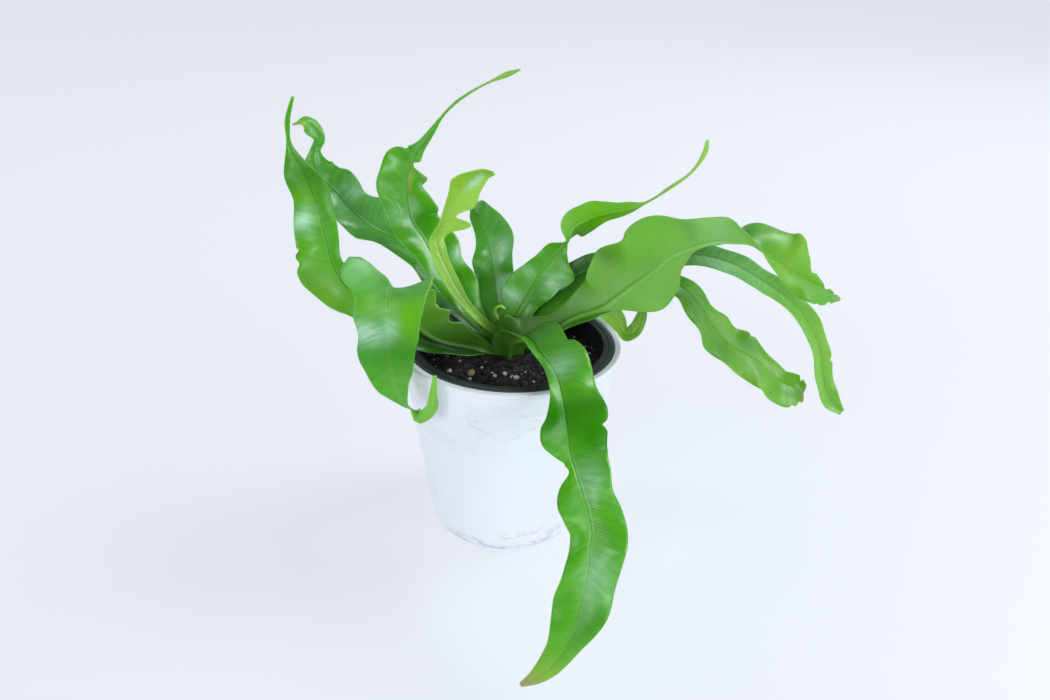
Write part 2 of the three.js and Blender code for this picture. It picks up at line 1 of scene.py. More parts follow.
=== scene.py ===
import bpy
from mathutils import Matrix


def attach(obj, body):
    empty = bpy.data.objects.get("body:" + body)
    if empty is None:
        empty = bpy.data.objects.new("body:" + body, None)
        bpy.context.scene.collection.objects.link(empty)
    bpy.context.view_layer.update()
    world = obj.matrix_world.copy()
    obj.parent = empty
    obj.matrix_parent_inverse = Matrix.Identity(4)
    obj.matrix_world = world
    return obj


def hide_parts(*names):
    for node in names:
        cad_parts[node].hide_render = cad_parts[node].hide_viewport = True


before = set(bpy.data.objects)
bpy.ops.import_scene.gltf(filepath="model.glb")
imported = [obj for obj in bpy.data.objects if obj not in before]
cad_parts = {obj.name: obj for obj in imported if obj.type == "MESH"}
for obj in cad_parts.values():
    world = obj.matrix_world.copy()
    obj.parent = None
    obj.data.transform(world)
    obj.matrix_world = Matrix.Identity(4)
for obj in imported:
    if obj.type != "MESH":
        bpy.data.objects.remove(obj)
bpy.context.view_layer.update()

import math

import bpy
import numpy as np
from bpy.props import FloatProperty, FloatVectorProperty, IntProperty, PointerProperty
from mathutils import Matrix, Vector

bl_info = {
    "name": "Potted wavy fern",
    "version": (1, 0, 0),
    "blender": (4, 5, 0),
    "location": "View3D > Sidebar > Potted fern",
    "description": "Fronds, pots and soil of a potted fern, built round its packed solids",
    "category": "Object",
}

MM = 0.001
BODY = "root"
LEAST_HALF = 0.6  # least half width of a fine blade, in millimetres
FLOOR_LEVEL = -0.0003  # just under the pot's foot, so that the two faces don't coincide
AIM = Vector((0.0, 0.0, 0.11))  # the middle of the plant, which every lamp points at
LAMP_COLOUR = (0.90, 0.95, 1.0)

# The camera, in metres, degrees and millimetres of sensor and lens.
CAMERA_PLACE = (7.7 * MM, -373.2 * MM, 293.0 * MM)
CAMERA_PITCH = 27.67
CAMERA_ROLL = 2.18
SENSOR_WIDTH = 36
CAMERA_LENS = 828 / 1050 * SENSOR_WIDTH


def form(heading, pitch, rows, wave=(1.5, 1.5), gather=(0.06, 0.06), phase=(0, 0.5), lean=0):
    """A frond's form. It runs along heading, an angle in degrees from +X towards +Y. A row gives
    [reach, height, drift, roll, left, right, fold]: distance out along the heading, height over
    the pot's underside, offset to the left of the heading, the blade's turn about its rib, the two
    half widths, and how far the halves fold upwards, in millimetres and degrees. pitch is the
    length of the ruffles along the margin. wave, gather and phase hold the left half's value and
    the right half's: the ruffles' height, how much they draw the margin in and out, and where they
    start. lean is how far the halves sweep towards the tip for each millimetre from the rib."""
    return {
        "heading": heading, "pitch": pitch, "rows": rows, "wave": wave, "gather": gather,
        "phase": phase, "lean": lean,
    }


# The rows are those of part.mjs, but for the thin ends of the two thread tips.
FRONDS = {
    "frond_left_hook": form(180, 24, [
        [7.5, 95.8, 0.3, 0, 2, 1.8, 15], [20, 97.5, 6, -5, 5, 6, 12], [35, 103, 9, -12, 10, 9, 12],
        [49, 110, 10, -25, 14, 9, 18], [61, 118, 9, -30, 15, 8, 20], [74, 126, 7, -35, 16, 8, 20],
        [81, 131, 6, -40, 18, 7, 20], [86, 138, 4, -50, 20, 6, 20], [90, 152, 0, -55, 17, 6, 15],
        [95, 172, -4, -55, 11, 8, 10], [101, 186, -6, -50, 9, 4, 10],
        [105, 196, -6, -50, 1.4, 1.4, 0], [104, 207, -4, -50, 1.3, 1.4, 0],
        [100, 218, -2, -50, 0.8, 0.8, 0],
    ], wave=[1.5, 2], phase=[0.2, 0.6]),
    "frond_back_left": form(150, 26, [
        [8, 95.8, -2.7, -20, 2, 2, 30], [24, 107, -1, -20, 13, 7, 25],
        [40, 119, -1, -20, 13, 9, 20], [55, 131, -2, -20, 10, 10, 20],
        [69, 140, 0, -20, 12, 11, 20], [87, 144, 1, -20, 15, 14, 20],
        [103, 154, 3, -20, 13, 14, 20], [108, 160, 4, -20, 13, 12, 20],
        [116, 165, 4, -20, 11, 11, 20], [121, 172, 5, -30, 7, 10, 20],
        [122, 180, 3, -30, 3, 3, 20], [120, 186, 1, -30, 3.5, 3, 10], [122, 192, 3, -30, 5, 4, 0],
        [124, 195, 7, -30, 4, 3, 0], [127, 194, 12, -30, 1, 1, 0],
    ], wave=[2, 2], gather=[0.08, 0.08], phase=[0.1, 0.5]),
    "frond_left_droop": form(235, 20, [
        [6, 96.3, -2.5, 0, 2, 1.5, 40], [11.4, 98.6, -7, 0, 4.5, 2, 50],
        [18, 102, -12, 0, 9, 6, 55], [27, 105.5, -17.5, 0, 13, 8, 55],
        [36, 112, -23.5, 0, 15, 11, 50], [43, 122, -26, 5, 15, 9, 38],
        [48.5, 132, -27, 5, 15, 8, 32], [53, 138.5, -26.5, 0, 16, 8, 28],
        [57, 142.7, -25, -4, 17, 10, 22], [60.5, 144.5, -23, -9, 18.5, 23.5, 19],
        [64, 143.1, -20.5, -12, 21.5, 17, 17], [67, 138.5, -18.5, -15, 20, 14.5, 14],
        [69, 132, -17, -20, 16.5, 15, 10], [69.5, 123, -16.5, -25, 13.5, 14, 5],
        [69.5, 111, -16.5, -25, 12, 13, 8], [68.5, 99, -14, -25, 7, 8, 10],
        [66.5, 90, -9.5, 0, 2.5, 2.5, 0], [64.5, 87.5, -3, 50, 4.5, 3, 0],
        [63, 92, 2, 60, 3.5, 2.8, 0], [63, 100, 3.5, 55, 2, 1.7, 0],
        [62.5, 110, 4.5, 55, 0.8, 0.8, 0],
    ], wave=[1.2, 0.5], gather=[0.05, 0.03]),
    "frond_tall_thread": form(150, 24, [
        [7, 97, 1.5, -20, 2, 2, 35], [15, 107, 5, -20, 5, 5, 25], [29, 124, 7, -25, 8, 12, 15],
        [43, 139, 6, -25, 10, 14, 15], [51, 147, 4, -25, 13, 14, 15],
        [59, 153, 2, -30, 13, 14, 15], [64, 163, -1, -30, 16, 12, 15],
        [67, 170, -4, -30, 17, 9, 15], [67, 176, -7, -30, 18, 9, 15],
        [66.8, 179.5, -9.5, -30, 17, 4, 18], [66, 183, -12, -30, 12, 3, 20],
        [64.8, 186.5, -14, -30, 7, 2.5, 20], [63, 190, -16, -30, 5, 2, 20],
        [60, 195.5, -18, -30, 2.5, 1.5, 10], [57, 201, -20, -30, 1, 1, 0],
        [51, 209, -25, -30, 1, 1, 0], [36, 220, -35, -30, 1, 1, 0],
        [30, 223, -39, -30, 2.6, 1.8, 0], [24, 226, -42, -30, 0.7, 0.7, 0],
    ], phase=[0.3, 0.8]),
    "frond_young_lime": form(150, 20, [
        [4.4, 97.3, -0.6, -30, 1.5, 1.3, 40], [7.5, 105, 2.4, -30, 2, 2, 32],
        [13, 113, 8, -30, 3, 2, 28], [20, 122, 11, -30, 4, 2, 24], [24, 129, 13, -30, 5, 3, 22],
        [29, 138, 14, -30, 5, 3, 22], [33, 147, 15, -30, 5, 4, 22], [35, 152, 14, -30, 4, 4, 22],
        [34.4, 155.4, 12.9, -33, 3.4, 5, 20], [33.4, 158.6, 11.6, -35, 2.8, 13, 20],
        [32.2, 163, 10, -37, 3, 4.5, 20], [30.6, 168, 7.8, -40, 5, 9, 20],
        [28.6, 172, 5.5, -42, 9.8, 9, 20], [26.5, 175.8, 3.6, -45, 9.5, 7.3, 20],
        [22, 181, 1, -45, 7, 5, 20], [17, 184, -1, -45, 4.5, 2.5, 10],
        [13, 185, -2, -45, 1.2, 1.2, 0],
    ], wave=[0, 0], gather=[0, 0], phase=[0, 0], lean=0.45),
    "frond_back_upright": form(95, 20, [
        [5.2, 97, 1.3, 0, 1.6, 1.8, 30], [10, 105, 3.5, 0, 6, 5, 20], [17, 113, 6, 0, 9, 9, 15],
        [24, 125, 8, 0, 10, 10, 15], [29, 134, 9, 0, 10, 12, 15], [33, 143, 11, 0, 7, 13, 15],
        [37, 150, 13.5, -20, 5, 13, 20], [41, 155, 17, -40, 4, 9, 20], [45, 157, 19, -50, 2, 3, 0],
    ]),
    "frond_right_thread": form(35, 18, [
        [3, 97.3, 2, 50, 2, 2, 40], [3, 105, 3, 50, 5, 5, 30], [4, 111, 4, 50, 8, 8, 20],
        [10, 120, 4, 50, 12, 9, 15], [14, 126, 4, 50, 13, 11, 15], [19, 132, 4, 50, 9, 14, 15],
        [22, 136, 3, 50, 8, 15, 10], [27, 142, 2, 50, 7, 12, 10], [31, 146, 1, 20, 4, 3, 0],
        [33, 149, 1, -50, 3, 3, 0], [36, 155, 1, -90, 8, 7, 10], [43, 159, -1, -90, 10, 9, 15],
        [51, 162, -5, -90, 6, 6, 15], [64, 165.3, -12, -90, 2.6, 2.8, 8],
        [67.5, 166.8, -13.8, -90, 1.1, 1.2, 0], [79, 175, -20, -90, 1, 1, 0],
        [90, 186, -26, -90, 1, 1, 0], [92, 195, -29, -90, 1.9, 1.9, 0],
        [91, 200, -30, -90, 1, 1, 0],
    ], wave=[1, 1]),
    "frond_big_right": form(355, 26, [
        [-5.4, 99, -3.7, -65, 2.6, 14, 30], [1, 100, -4.5, -65, 4, 18, 30],
        [8, 102, -4, -65, 5, 14, 40], [17, 107, -1, -65, 7, 10, 45], [32, 115, 4, -75, 4.5, 9, 40],
        [46, 122, 4, -80, 5.5, 19, 28], [52, 127.5, 4.4, -83, 14, 21, 20],
        [58, 133, 5, -85, 21.5, 23, 15], [68, 142, 6, -80, 21, 24, 12],
        [76, 150, 7, -72, 13, 22, 14], [85, 155, 7, -62, 12, 18, 25],
        [94, 158, 8, -58, 12, 12, 32], [104, 159, 8, -45, 13, 11, 30],
        [112, 159, 8, -10, 15, 11, 20], [120, 155, 8, 20, 19, 10, 15],
        [129, 149, 7, 30, 20, 12, 15], [139, 144, 7, 30, 12, 18, 15], [148, 140, 7, 30, 4, 14, 10],
        [159, 134, 7, 30, 1, 1, 0],
    ]),
    "frond_long_right": form(18, 26, [
        [5, 96.8, 5, 45, 2.5, 2, 30], [11, 104, 8, 45, 5, 5, 30], [26, 118, 13, 45, 10, 9, 20],
        [44, 129, 13, 45, 9, 10, 20], [62, 134, 10, 45, 7, 8, 20], [82, 138, 5, 45, 7, 7, 20],
        [100, 140, 0, 45, 7, 8, 20], [117, 136, -4, 55, 6, 8, 20], [136, 126, -9, 60, 6, 8, 20],
        [152, 115, -15, 65, 6, 7, 20], [163, 103, -18, 75, 6, 7, 20], [171, 88, -22, 75, 6, 8, 20],
        [175, 72, -25, 75, 6, 9, 20], [179, 59, -29, 75, 6, 7, 20], [186, 51, -34, 75, 2, 2, 10],
    ], wave=[1, 1], gather=[0.05, 0.05]),
    "frond_lower_right": form(12, 24, [
        [7.5, 96.4, 0, 45, 2, 2.5, 30], [20, 101, 10, 45, 4, 5, 20], [40, 108, 15, 45, 7, 7, 20],
        [62, 115, 16, 45, 8, 7, 20], [77, 120, 14, 45, 7, 7, 20], [90, 123, 12, 45, 6, 8, 15],
        [103, 113, 9, 45, 7, 17, 15], [112, 100, 7, 45, 9, 20, 15], [124, 88, 4, 45, 12, 16, 15],
        [140, 79, 1, 45, 9, 19, 15], [154, 67, -3, 45, 7, 17, 15], [162, 64, -6, 45, 8, 13, 15],
        [167, 61, -7, 45, 5, 6, 15],
    ]),
    "frond_back_right": form(35, 22, [
        [7.8, 95.4, 4.8, 20, 2, 2, 30], [27, 104, 12, 25, 6, 5, 20], [46, 108, 10, 40, 8, 6, 20],
        [58, 107, 6, 62, 8, 5, 15], [66.5, 101, 4.4, 75, 6, 7, 12],
        [74.5, 92, 1.4, 78, 5, 5.5, 10], [79, 84.8, 0, 60, 4, 4, 10],
        [83, 86, -2, 25, 4.8, 3.6, 10], [86, 95, -3, 20, 3.5, 3.5, 0], [87, 103, -3, 20, 2, 2, 0],
    ], wave=[1, 1], gather=[0.05, 0.05]),
    "frond_front": form(278, 28.5, [
        [6, 95.3, -1, 0, 7, 6, 6], [9.5, 102.5, -1, 0, 8.5, 9.5, 10],
        [13, 107.5, 1, 0, 9.5, 9.5, 25], [19, 112, 4, 0, 11, 8, 30], [27, 115, 7, 0, 14, 7, 25],
        [38, 115, 9, 0, 17, 5, 20], [48, 113, 13, 0, 16, 4, 15], [56, 111, 15, 0, 16, 5, 12],
        [66, 107, 16, 0, 17, 6, 12], [75, 103, 16, 0, 17, 8.5, 12], [83, 99, 16, 0, 17, 12.5, 10],
        [88, 95, 16, 0, 17, 12, 10], [92, 92, 16.5, 0, 16, 6, 10], [96, 89, 17.5, 0, 14, 3, 10],
        [100, 86, 18.5, 0, 13, 8.5, 10], [105, 81.5, 20, 0, 12.5, 12.5, 10],
        [110, 76.5, 21.5, 0, 14.5, 12, 10], [115, 71, 22, 0, 14.5, 9.5, 8],
        [118, 67, 21, 0, 14, 8.5, 8], [123, 60, 20, 0, 13, 10.5, 8], [129, 50, 17, 0, 12.5, 12, 8],
        [134, 41, 13, 0, 9.5, 10, 5], [139, 30, 6, 0, 6.5, 6.5, 5], [142, 22, -3, 0, 3.5, 3, 0],
        [143, 19, -9, 0, 1, 1, 0],
    ], wave=[2.5, 3], gather=[0.03, 0], phase=[0.3, 0.85]),
    "young_crozier": form(180, 20, [
        [2.4, 97.3, -0.4, 0, 1.1, 1.1, 30], [4.2, 106, 0, 0, 1.4, 1.4, 30],
        [6, 112, 0, 0, 1.5, 1.5, 30], [8, 116, -1, 0, 1.5, 1.5, 20],
        [7.5, 119, -1, 0, 1.5, 1.5, 10], [5, 120, -1, 0, 1.3, 1.3, 10], [3, 118.5, -1, 0, 1, 1, 0],
    ], wave=[0, 0], gather=[0, 0], phase=[0, 0]),
}

# Pale grains on the soil, and the tan pebble: x, y and half size in millimetres.
GRAINS = [
    [-29.4, -16.5, 1.5], [-18.6, -23.6, 1.3], [-6.5, -20.6, 1.3], [-8.2, -17.6, 0.9],
    [-1.7, -18.3, 1.3], [1.8, -20.1, 1.1], [3.9, -21.4, 1.5], [12.6, -23.2, 0.8],
    [-24.8, -6.2, 0.9], [-36.5, -12.4, 0.8], [-13.4, -12.6, 0.8], [8.4, -15.2, 0.7],
    [39.3, 16.1, 1.0], [41.5, 8.4, 0.8], [34.0, 26.0, 1.1], [-38.0, 14.0, 1.2], [-24.0, 30.0, 1.3],
    [-6.0, 40.0, 1.1], [14.0, 38.0, 1.4], [28.0, -18.0, 1.2], [20.0, -34.0, 1.3],
    [-12.0, -38.0, 1.0], [-28.0, -33.0, 0.9], [37.0, -8.0, 1.2], [2.0, -32.0, 0.7],
]
PEBBLE = [-18.4, -18.9, 2.2]
FINE_GRAINS = 90


def extras(gull, ripple, crease=1, nicks=(), **stains):
    """What a fine frond adds to the solid's form. gull is how far each half bows upwards between
    rib and margin, and ripple how high each half's slanting pleats stand, in millimetres, and
    crease is the share of the full groove along the rib. nicks are [half, run, length, depth] of
    small bites in the margin, with half 0 on the left and 1 on the right, and run the distance
    from the crown. The keyword lists give, for a kind in STAINS, its marks
    [half, run, across, run reach, across reach, strength], with across from 0 at the rib to 1 at
    the margin. Not every kind is a stain: shade marks are painted shade, and bloom marks are
    painted highlights but for a few small pale spots."""
    return {"gull": gull, "ripple": ripple, "crease": crease, "nicks": nicks, "stains": stains}


TRIMS = {
    "frond_left_hook": extras(
        1.4, [0.20, 0.18], crease=0.8,
        nicks=[[0, 100, 2.2, 2.2], [0, 106, 1.6, 1.6], [1, 66, 2.5, 1.2]],
        shade=[[0, 26, 0.3, 32, 3, 0.95], [1, 140, 0.2, 17, 3, 0.6]],
        bloom=[[0, 120, 0.7, 5, 0.5, 0.9]], tender=[[0, 88, 0.6, 14, 0.6, 0.35]],
        matt=[[0, 85, 0.5, 24, 3, 0.7], [0, 136, 0.5, 12, 3, 0.8]],
        bright=[[0, 131, 0.6, 6, 0.8, 0.8]],
    ),
    "frond_back_left": extras(
        1.2, [0.30, 0.30], crease=0.9, tender=[[0, 172, 0.5, 6, 3, 0.9]],
        shade=[[0, 26, 0.8, 12, 2, 0.9]],
        bloom=[[1, 116, 0.55, 5, 0.4, 0.7], [1, 100, 0.3, 20, 2, 0.15]],
        matt=[[1, 75, 0.5, 20, 2, 0.7]],
    ),
    "frond_left_droop": extras(
        -1.2, [0.10, 0.10], crease=0.8, shade=[[0, 22, 0.5, 26, 3, 0.85]],
        cool=[[1, 80, 0.9, 8, 0.7, 0.8]],
        bloom=[
            [1, 106, 0.7, 6, 0.6, 1.1], [0, 102, 0.1, 5, 0.25, 0.6], [0, 85, 0.5, 4, 1, 0.3],
            [1, 81, 0.9, 4, 0.4, 0.3],
        ],
        bright=[[0, 101, 0.65, 11, 0.4, 1.2], [1, 93, 0.4, 6, 0.6, 0.6]],
        matt=[[0, 101, 0.65, 11, 0.45, 1.2], [1, 84, 0.5, 10, 3, 0.7]],
        rich=[[0, 113, 0.4, 12, 3, 0.8]],
    ),
    "frond_tall_thread": extras(
        1.3, [0.28, 0.28], crease=0.8, nicks=[[1, 107.5, 3.0, 5.0], [0, 113, 1.8, 2.8]],
        dry=[[1, 105, 0.75, 2.4, 0.2, 0.7], [1, 96, 0.18, 3.6, 0.06, 0.7]],
        warm=[[1, 100, 0.2, 6, 0.15, 0.7]], tender=[[0, 172, 0.5, 22, 3, 0.8]],
        bloom=[
            [0, 81, 0.6, 4, 0.35, 0.45], [0, 68, 0.12, 14, 0.12, 0.6], [1, 51, 0.9, 4, 0.4, 0.8],
        ],
        rich=[[1, 76, 0.6, 9, 0.6, 0.8], [1, 40, 0.7, 5, 0.6, 0.6]],
    ),
    "frond_young_lime": extras(
        -0.7, [0.1, 0.1], crease=0,
        bloom=[[1, 100, 0.2, 4.5, 0.3, 1.5], [0, 104, 0.1, 3, 0.35, 0.9]],
        cool=[[0, 30, 0.5, 22, 3, 0.25]],
        shade=[[0, 40, 0.35, 26, 0.3, 0.35], [1, 40, 0.1, 26, 0.12, 0.3]],
    ),
    "frond_back_upright": extras(
        0.9, [0.26, 0.26], crease=0.9,
        bloom=[
            [0, 49, 0.33, 0.9, 0.13, 1.6], [0, 37, 0.95, 1.2, 0.12, 1.2],
            [1, 49, 0.6, 5, 0.4, 0.65], [1, 30, 0.5, 4, 0.4, 0.6],
        ],
        rich=[[1, 39, 0.6, 3.5, 0.5, 0.7], [0, 36, 0.6, 5, 0.5, 0.6]],
    ),
    "frond_right_thread": extras(
        0.9, [0.20, 0.20], crease=0.9, tender=[[0, 135, 0.5, 30, 3, 0.85]],
        bright=[[0, 84, 0.3, 16, 2, 1.0]], matt=[[0, 84, 0.3, 16, 2, 0.8]],
        shade=[[0, 70, 0.9, 5, 0.6, 0.6]],
        bloom=[[0, 24, 0.6, 4, 0.5, 0.8], [0, 38, 0.6, 3, 0.4, 0.4], [1, 40, 0.7, 5, 0.4, 0.75]],
        rich=[[1, 29, 0.6, 4, 0.5, 0.6]],
    ),
    "frond_big_right": extras(
        1.2, [0.34, 0.30],
        nicks=[
            [0, 172, 2.2, 3.0], [0, 181, 1.5, 3.4], [1, 184, 1.3, 2.2], [0, 186.5, 0.9, 1.6],
            [1, 176, 1.6, 1.4],
        ],
        shade=[
            [1, 20, 0.4, 30, 3, 1.0], [1, 74, 0.8, 4, 0.25, 0.45], [1, 111, 0.7, 3.5, 0.6, 0.4],
            [1, 88, 0.5, 22, 3, 0.22],
        ],
        dry=[[1, 189, 0.5, 2, 3, 0.6]], tender=[[0, 160, 0.5, 16, 2, 0.4]],
        matt=[[0, 168, 0.4, 18, 3, 1.0]], bloom=[[1, 123, 0.4, 10, 3, 0.4]],
        bright=[[1, 92, 0.7, 14, 0.6, 0.6]],
    ),
    "frond_long_right": extras(
        0.6, [0.18, 0.18], nicks=[[0, 214, 1.6, 1.2]],
        shade=[[0, 50, 0.4, 22, 2, 0.7], [0, 120, 0.2, 42, 3, 0.38]],
        tender=[[0, 205, 0.4, 50, 3, 0.4]], matt=[[0, 140, 0.2, 60, 3, 0.8]],
        bloom=[[0, 122, 0.2, 40, 3, 0.22]],
    ),
    "frond_lower_right": extras(
        0.7, [0.14, 0.14],
        nicks=[[1, 190, 1.2, 2.6], [0, 188.5, 1.0, 2.4], [1, 186, 1.0, 1.6], [0, 150, 1.8, 1.2]],
        tender=[[0, 150, 0.4, 50, 3, 0.4]], dry=[[1, 192.5, 0.5, 1.2, 3, 0.7]],
        rich=[[1, 135, 0.6, 8, 0.6, 0.5], [0, 150, 0.6, 12, 0.6, 0.7]],
        shade=[[1, 105, 0, 40, 3, 0.4]], matt=[[1, 120, 0, 55, 3, 0.6]],
    ),
    "frond_back_right": extras(0.6, [0.15, 0.15], warm=[[0, 85, 0, 40, 2, 0.6]]),
    "frond_front": extras(
        1.2, [0.24, 0.24], nicks=[[0, 90, 1.5, 2.4], [1, 104, 1.2, 1.0]],
        dry=[[0, 204, 0.5, 5, 3, 0.95]], warm=[[0, 196, 0.5, 9, 3, 0.5]],
        shade=[[0, 8, 0.5, 28, 3, 1.0]],
        rich=[
            [0, 95, 0.8, 9, 0.5, 1.3], [0, 80, 0.4, 6, 3, 0.6], [1, 88, 0.5, 8, 0.8, 0.9],
            [0, 170, 0.6, 10, 0.5, 0.5],
        ],
        bloom=[[0, 153, 0.3, 9, 0.5, 0.5], [0, 114, 0.35, 8, 0.4, 0.5], [0, 57, 0.1, 6, 0.5, 0.7]],
        matt=[[1, 165, 0.4, 40, 0.7, 0.7]],
    ),
    "young_crozier": extras(0.0, [0.0, 0.0], crease=0.5),
}
# Kinds of mark on a blade. The shade marks are painted shade, and the bloom marks are painted
# highlights but for a few small pale spots; the matt marks only dull the gloss.
STAINS = ("warm", "dry", "shade", "cool", "tender", "bright", "rich", "bloom", "matt")


# ---------- Settings ----------

def colour(name, description, default):
    return FloatVectorProperty(
        name=name, description=description, subtype="COLOR", size=3, min=0, max=1,
        default=default,
    )


def length(name, description, default):
    return FloatProperty(
        name=name, description=description, default=default, min=0, unit="LENGTH",
        subtype="DISTANCE", precision=5,
    )


def power(name, description, default):
    return FloatProperty(name=name, description=description, default=default, min=0)


def share(name, description, default):
    return FloatProperty(name=name, description=description, default=default, min=0, max=1)


class FrondSettings(bpy.types.PropertyGroup):
    """Sizes and colours of the fronds."""

    step: length("Step", "Distance between cross-sections", 1.2 * MM)
    columns: IntProperty(name="Columns", description="Points across a blade", default=33, min=9)
    thickness: length("Thickness", "Blade thickness beside the rib", 0.55 * MM)
    margin: length("Margin", "Blade thickness at the margin", 0.3 * MM)
    rib: length("Rib", "How far the rib stands under the blade at the crown", 1.2 * MM)
    # This setting paints shade: it darkens the blades' colour close to the crown.
    hollow: share("Hollow", "How dark the blades are at the crown", 0.85)
    root_y: length("Root centre", "Where the fronds' headings start, behind the axis", 2 * MM)
    green: colour("Green", "Upper face of a grown blade", (0.092, 0.410, 0.006))
    deep: colour("Deep green", "Upper face between the veins", (0.050, 0.300, 0.003))
    cool: colour("Cool green", "Upper face of the fronds at the back", (0.105, 0.420, 0.045))
    under: colour("Underside", "Lower face of a grown blade", (0.175, 0.480, 0.036))
    pale: colour("Pale", "Rib and margin", (0.260, 0.620, 0.090))
    young: colour("Young", "Face of a young blade", (0.330, 0.640, 0.060))
    warm: colour("Warm", "Yellowed places", (0.330, 0.520, 0.040))
    dry: colour("Dry", "Withered places", (0.360, 0.300, 0.130))
    tender: colour("Tender", "Thin late growth at the tips", (0.350, 0.590, 0.080))
    bright: colour("Bright", "Fresh saturated places", (0.150, 0.500, 0.004))
    rich: colour("Rich", "Dark saturated places", (0.030, 0.235, 0.002))
    # This colour is mostly painted highlight, whitish patches where the blades would catch the
    # light, and it also paints a few small pale spots.
    bloom: colour("Bloom", "Waxy bloom", (0.480, 0.740, 0.540))
    roughness: share("Roughness", "Roughness of the upper face", 0.31)


class PotSettings(bpy.types.PropertyGroup):
    """Sizes and colours of the two pots."""

    height: length("Height", "Height of the outer pot", 103.3 * MM)
    rim_radius: length("Rim radius", "Outer radius at the rim", 56 * MM)
    foot_radius: length("Foot radius", "Outer radius at the floor", 40 * MM)
    mouth_radius: length("Mouth radius", "Inner radius at the rim", 52.8 * MM)
    nursery_top: length("Nursery top", "Height of the black pot's rim", 103 * MM)
    nursery_radius: length("Nursery radius", "Outer radius of the black pot's rim", 52.3 * MM)
    nursery_inner: length("Nursery mouth", "Inner radius of the black pot's rim", 47.2 * MM)
    glaze: colour("Glaze", "The white pot", (0.815, 0.832, 0.885))
    vein: colour("Vein", "The marbling on the white pot", (0.34, 0.38, 0.48))
    plastic: colour("Plastic", "The nursery pot", (0.016, 0.017, 0.024))


class SoilSettings(bpy.types.PropertyGroup):
    """Sizes and colours of the soil, its grains and the crown."""

    top: length("Top", "Height of the soil", 92 * MM)
    edge_radius: length("Edge radius", "Radius of the soil at its top", 46.8 * MM)
    crown_radius: length("Crown radius", "Radius of the crown", 8 * MM)
    crown_y: length("Crown centre", "How far the crown stands behind the axis", 3.5 * MM)
    crumbs: IntProperty(name="Crumbs", description="Loose crumbs of soil", default=700, min=0)
    earth: colour("Earth", "The soil", (0.082, 0.076, 0.078))
    grain: colour("Grain", "The pale grains", (0.72, 0.70, 0.66))
    pebble: colour("Pebble", "The tan pebble", (0.50, 0.36, 0.20))
    scale: colour("Scales", "The crown", (0.060, 0.035, 0.015))


class StageSettings(bpy.types.PropertyGroup):
    """The floor, the lights and the camera."""

    floor: colour("Floor", "The plain floor", (0.300, 0.309, 0.330))
    floor_size: length("Floor size", "Side of the floor", 16.0)
    ceiling: power("Ceiling", "Power of the light above", 23.0)
    left: power("Left window", "Power of the window on the left", 15.0)
    front: power("Front window", "Power of the window behind the camera", 15.0)
    right: power("Right window", "Power of the window on the right", 24.0)
    glow: power("Floor glow", "Light that the floor gives of its own", 1.90)
    room: power("Room", "Strength of the room's own light", 0.85)
    dim: power("Dim side", "Share of the room's light that comes from the camera's side", 0.12)


# ---------- Meshes ----------

def grid_quads(rows, columns, wrap=False):
    """Quads between neighbouring points of a grid; with wrap, the last column meets the first."""
    steps = columns if wrap else columns - 1
    i, j = np.meshgrid(np.arange(rows - 1), np.arange(steps), indexing="ij")
    beside = (j + 1) % columns
    return np.stack([
        i * columns + j, (i + 1) * columns + j, (i + 1) * columns + beside, i * columns + beside,
    ], axis=-1).reshape(-1, 4)


def closed_rings(rows, sides):
    """Quads between rings of points from bottom to top, and the triangles of their two caps, whose
    poles follow the last ring."""
    j = np.arange(sides)
    beside = (j + 1) % sides
    first = rows * sides
    last = first - sides
    bottom = np.stack([np.full(sides, first), beside, j], axis=1)
    top = np.stack([np.full(sides, first + 1), last + j, last + beside], axis=1)
    return [grid_quads(rows, sides, wrap=True)[:, ::-1], bottom, top]


def mesh_piece(name, points, faces, materials, attributes=None, material_index=None, smooth=True):
    """A mesh object at the origin from points in metres and arrays of quads or triangles."""
    faces = [np.asarray(f) for f in (faces if isinstance(faces, (list, tuple)) else [faces])]
    corners = np.concatenate([f.ravel() for f in faces])
    totals = np.concatenate([np.full(len(f), f.shape[1]) for f in faces])
    mesh = bpy.data.meshes.new(name)
    mesh.vertices.add(len(points))
    mesh.vertices.foreach_set("co", np.asarray(points, np.float32).ravel())
    mesh.loops.add(len(corners))
    mesh.loops.foreach_set("vertex_index", corners.astype(np.int32))
    mesh.polygons.add(len(totals))
    mesh.polygons.foreach_set("loop_start", (np.cumsum(totals) - totals).astype(np.int32))
    mesh.update(calc_edges=True)
    mesh.validate()
    for material in materials:
        mesh.materials.append(material)
    if material_index is not None:
        mesh.polygons.foreach_set("material_index", np.asarray(material_index, np.int32))
    for key, values in (attributes or {}).items():
        layer = mesh.attributes.new(key, "FLOAT", "POINT")
        layer.data.foreach_set("value", np.asarray(values, np.float32).ravel())
    mesh.polygons.foreach_set("use_smooth", np.full(len(totals), smooth))
    mesh.update()
    piece = bpy.data.objects.new(name, mesh)
    bpy.context.scene.collection.objects.link(piece)
    return piece


def stand_for(piece, node):
    """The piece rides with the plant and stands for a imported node."""
    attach(piece, BODY)
    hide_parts(node)


def rounded(profile, radius, steps=4):
    """A polyline of (radius, height) with each inner corner replaced by a quadratic curve between
    the points that lie radius before and after it."""
    p = np.asarray(profile, float)
    out = [p[:1]]
    for before, corner, after in zip(p[:-2], p[1:-1], p[2:]):
        a = before - corner
        b = after - corner
        reach = min(radius, 0.45 * np.linalg.norm(a), 0.45 * np.linalg.norm(b))
        start = corner + a / np.linalg.norm(a) * reach
        end = corner + b / np.linalg.norm(b) * reach
        s = np.linspace(0, 1, steps + 1)[:, None]
        out.append((1 - s) ** 2 * start + 2 * s * (1 - s) * corner + s ** 2 * end)
    out.append(p[-1:])
    return np.concatenate(out)


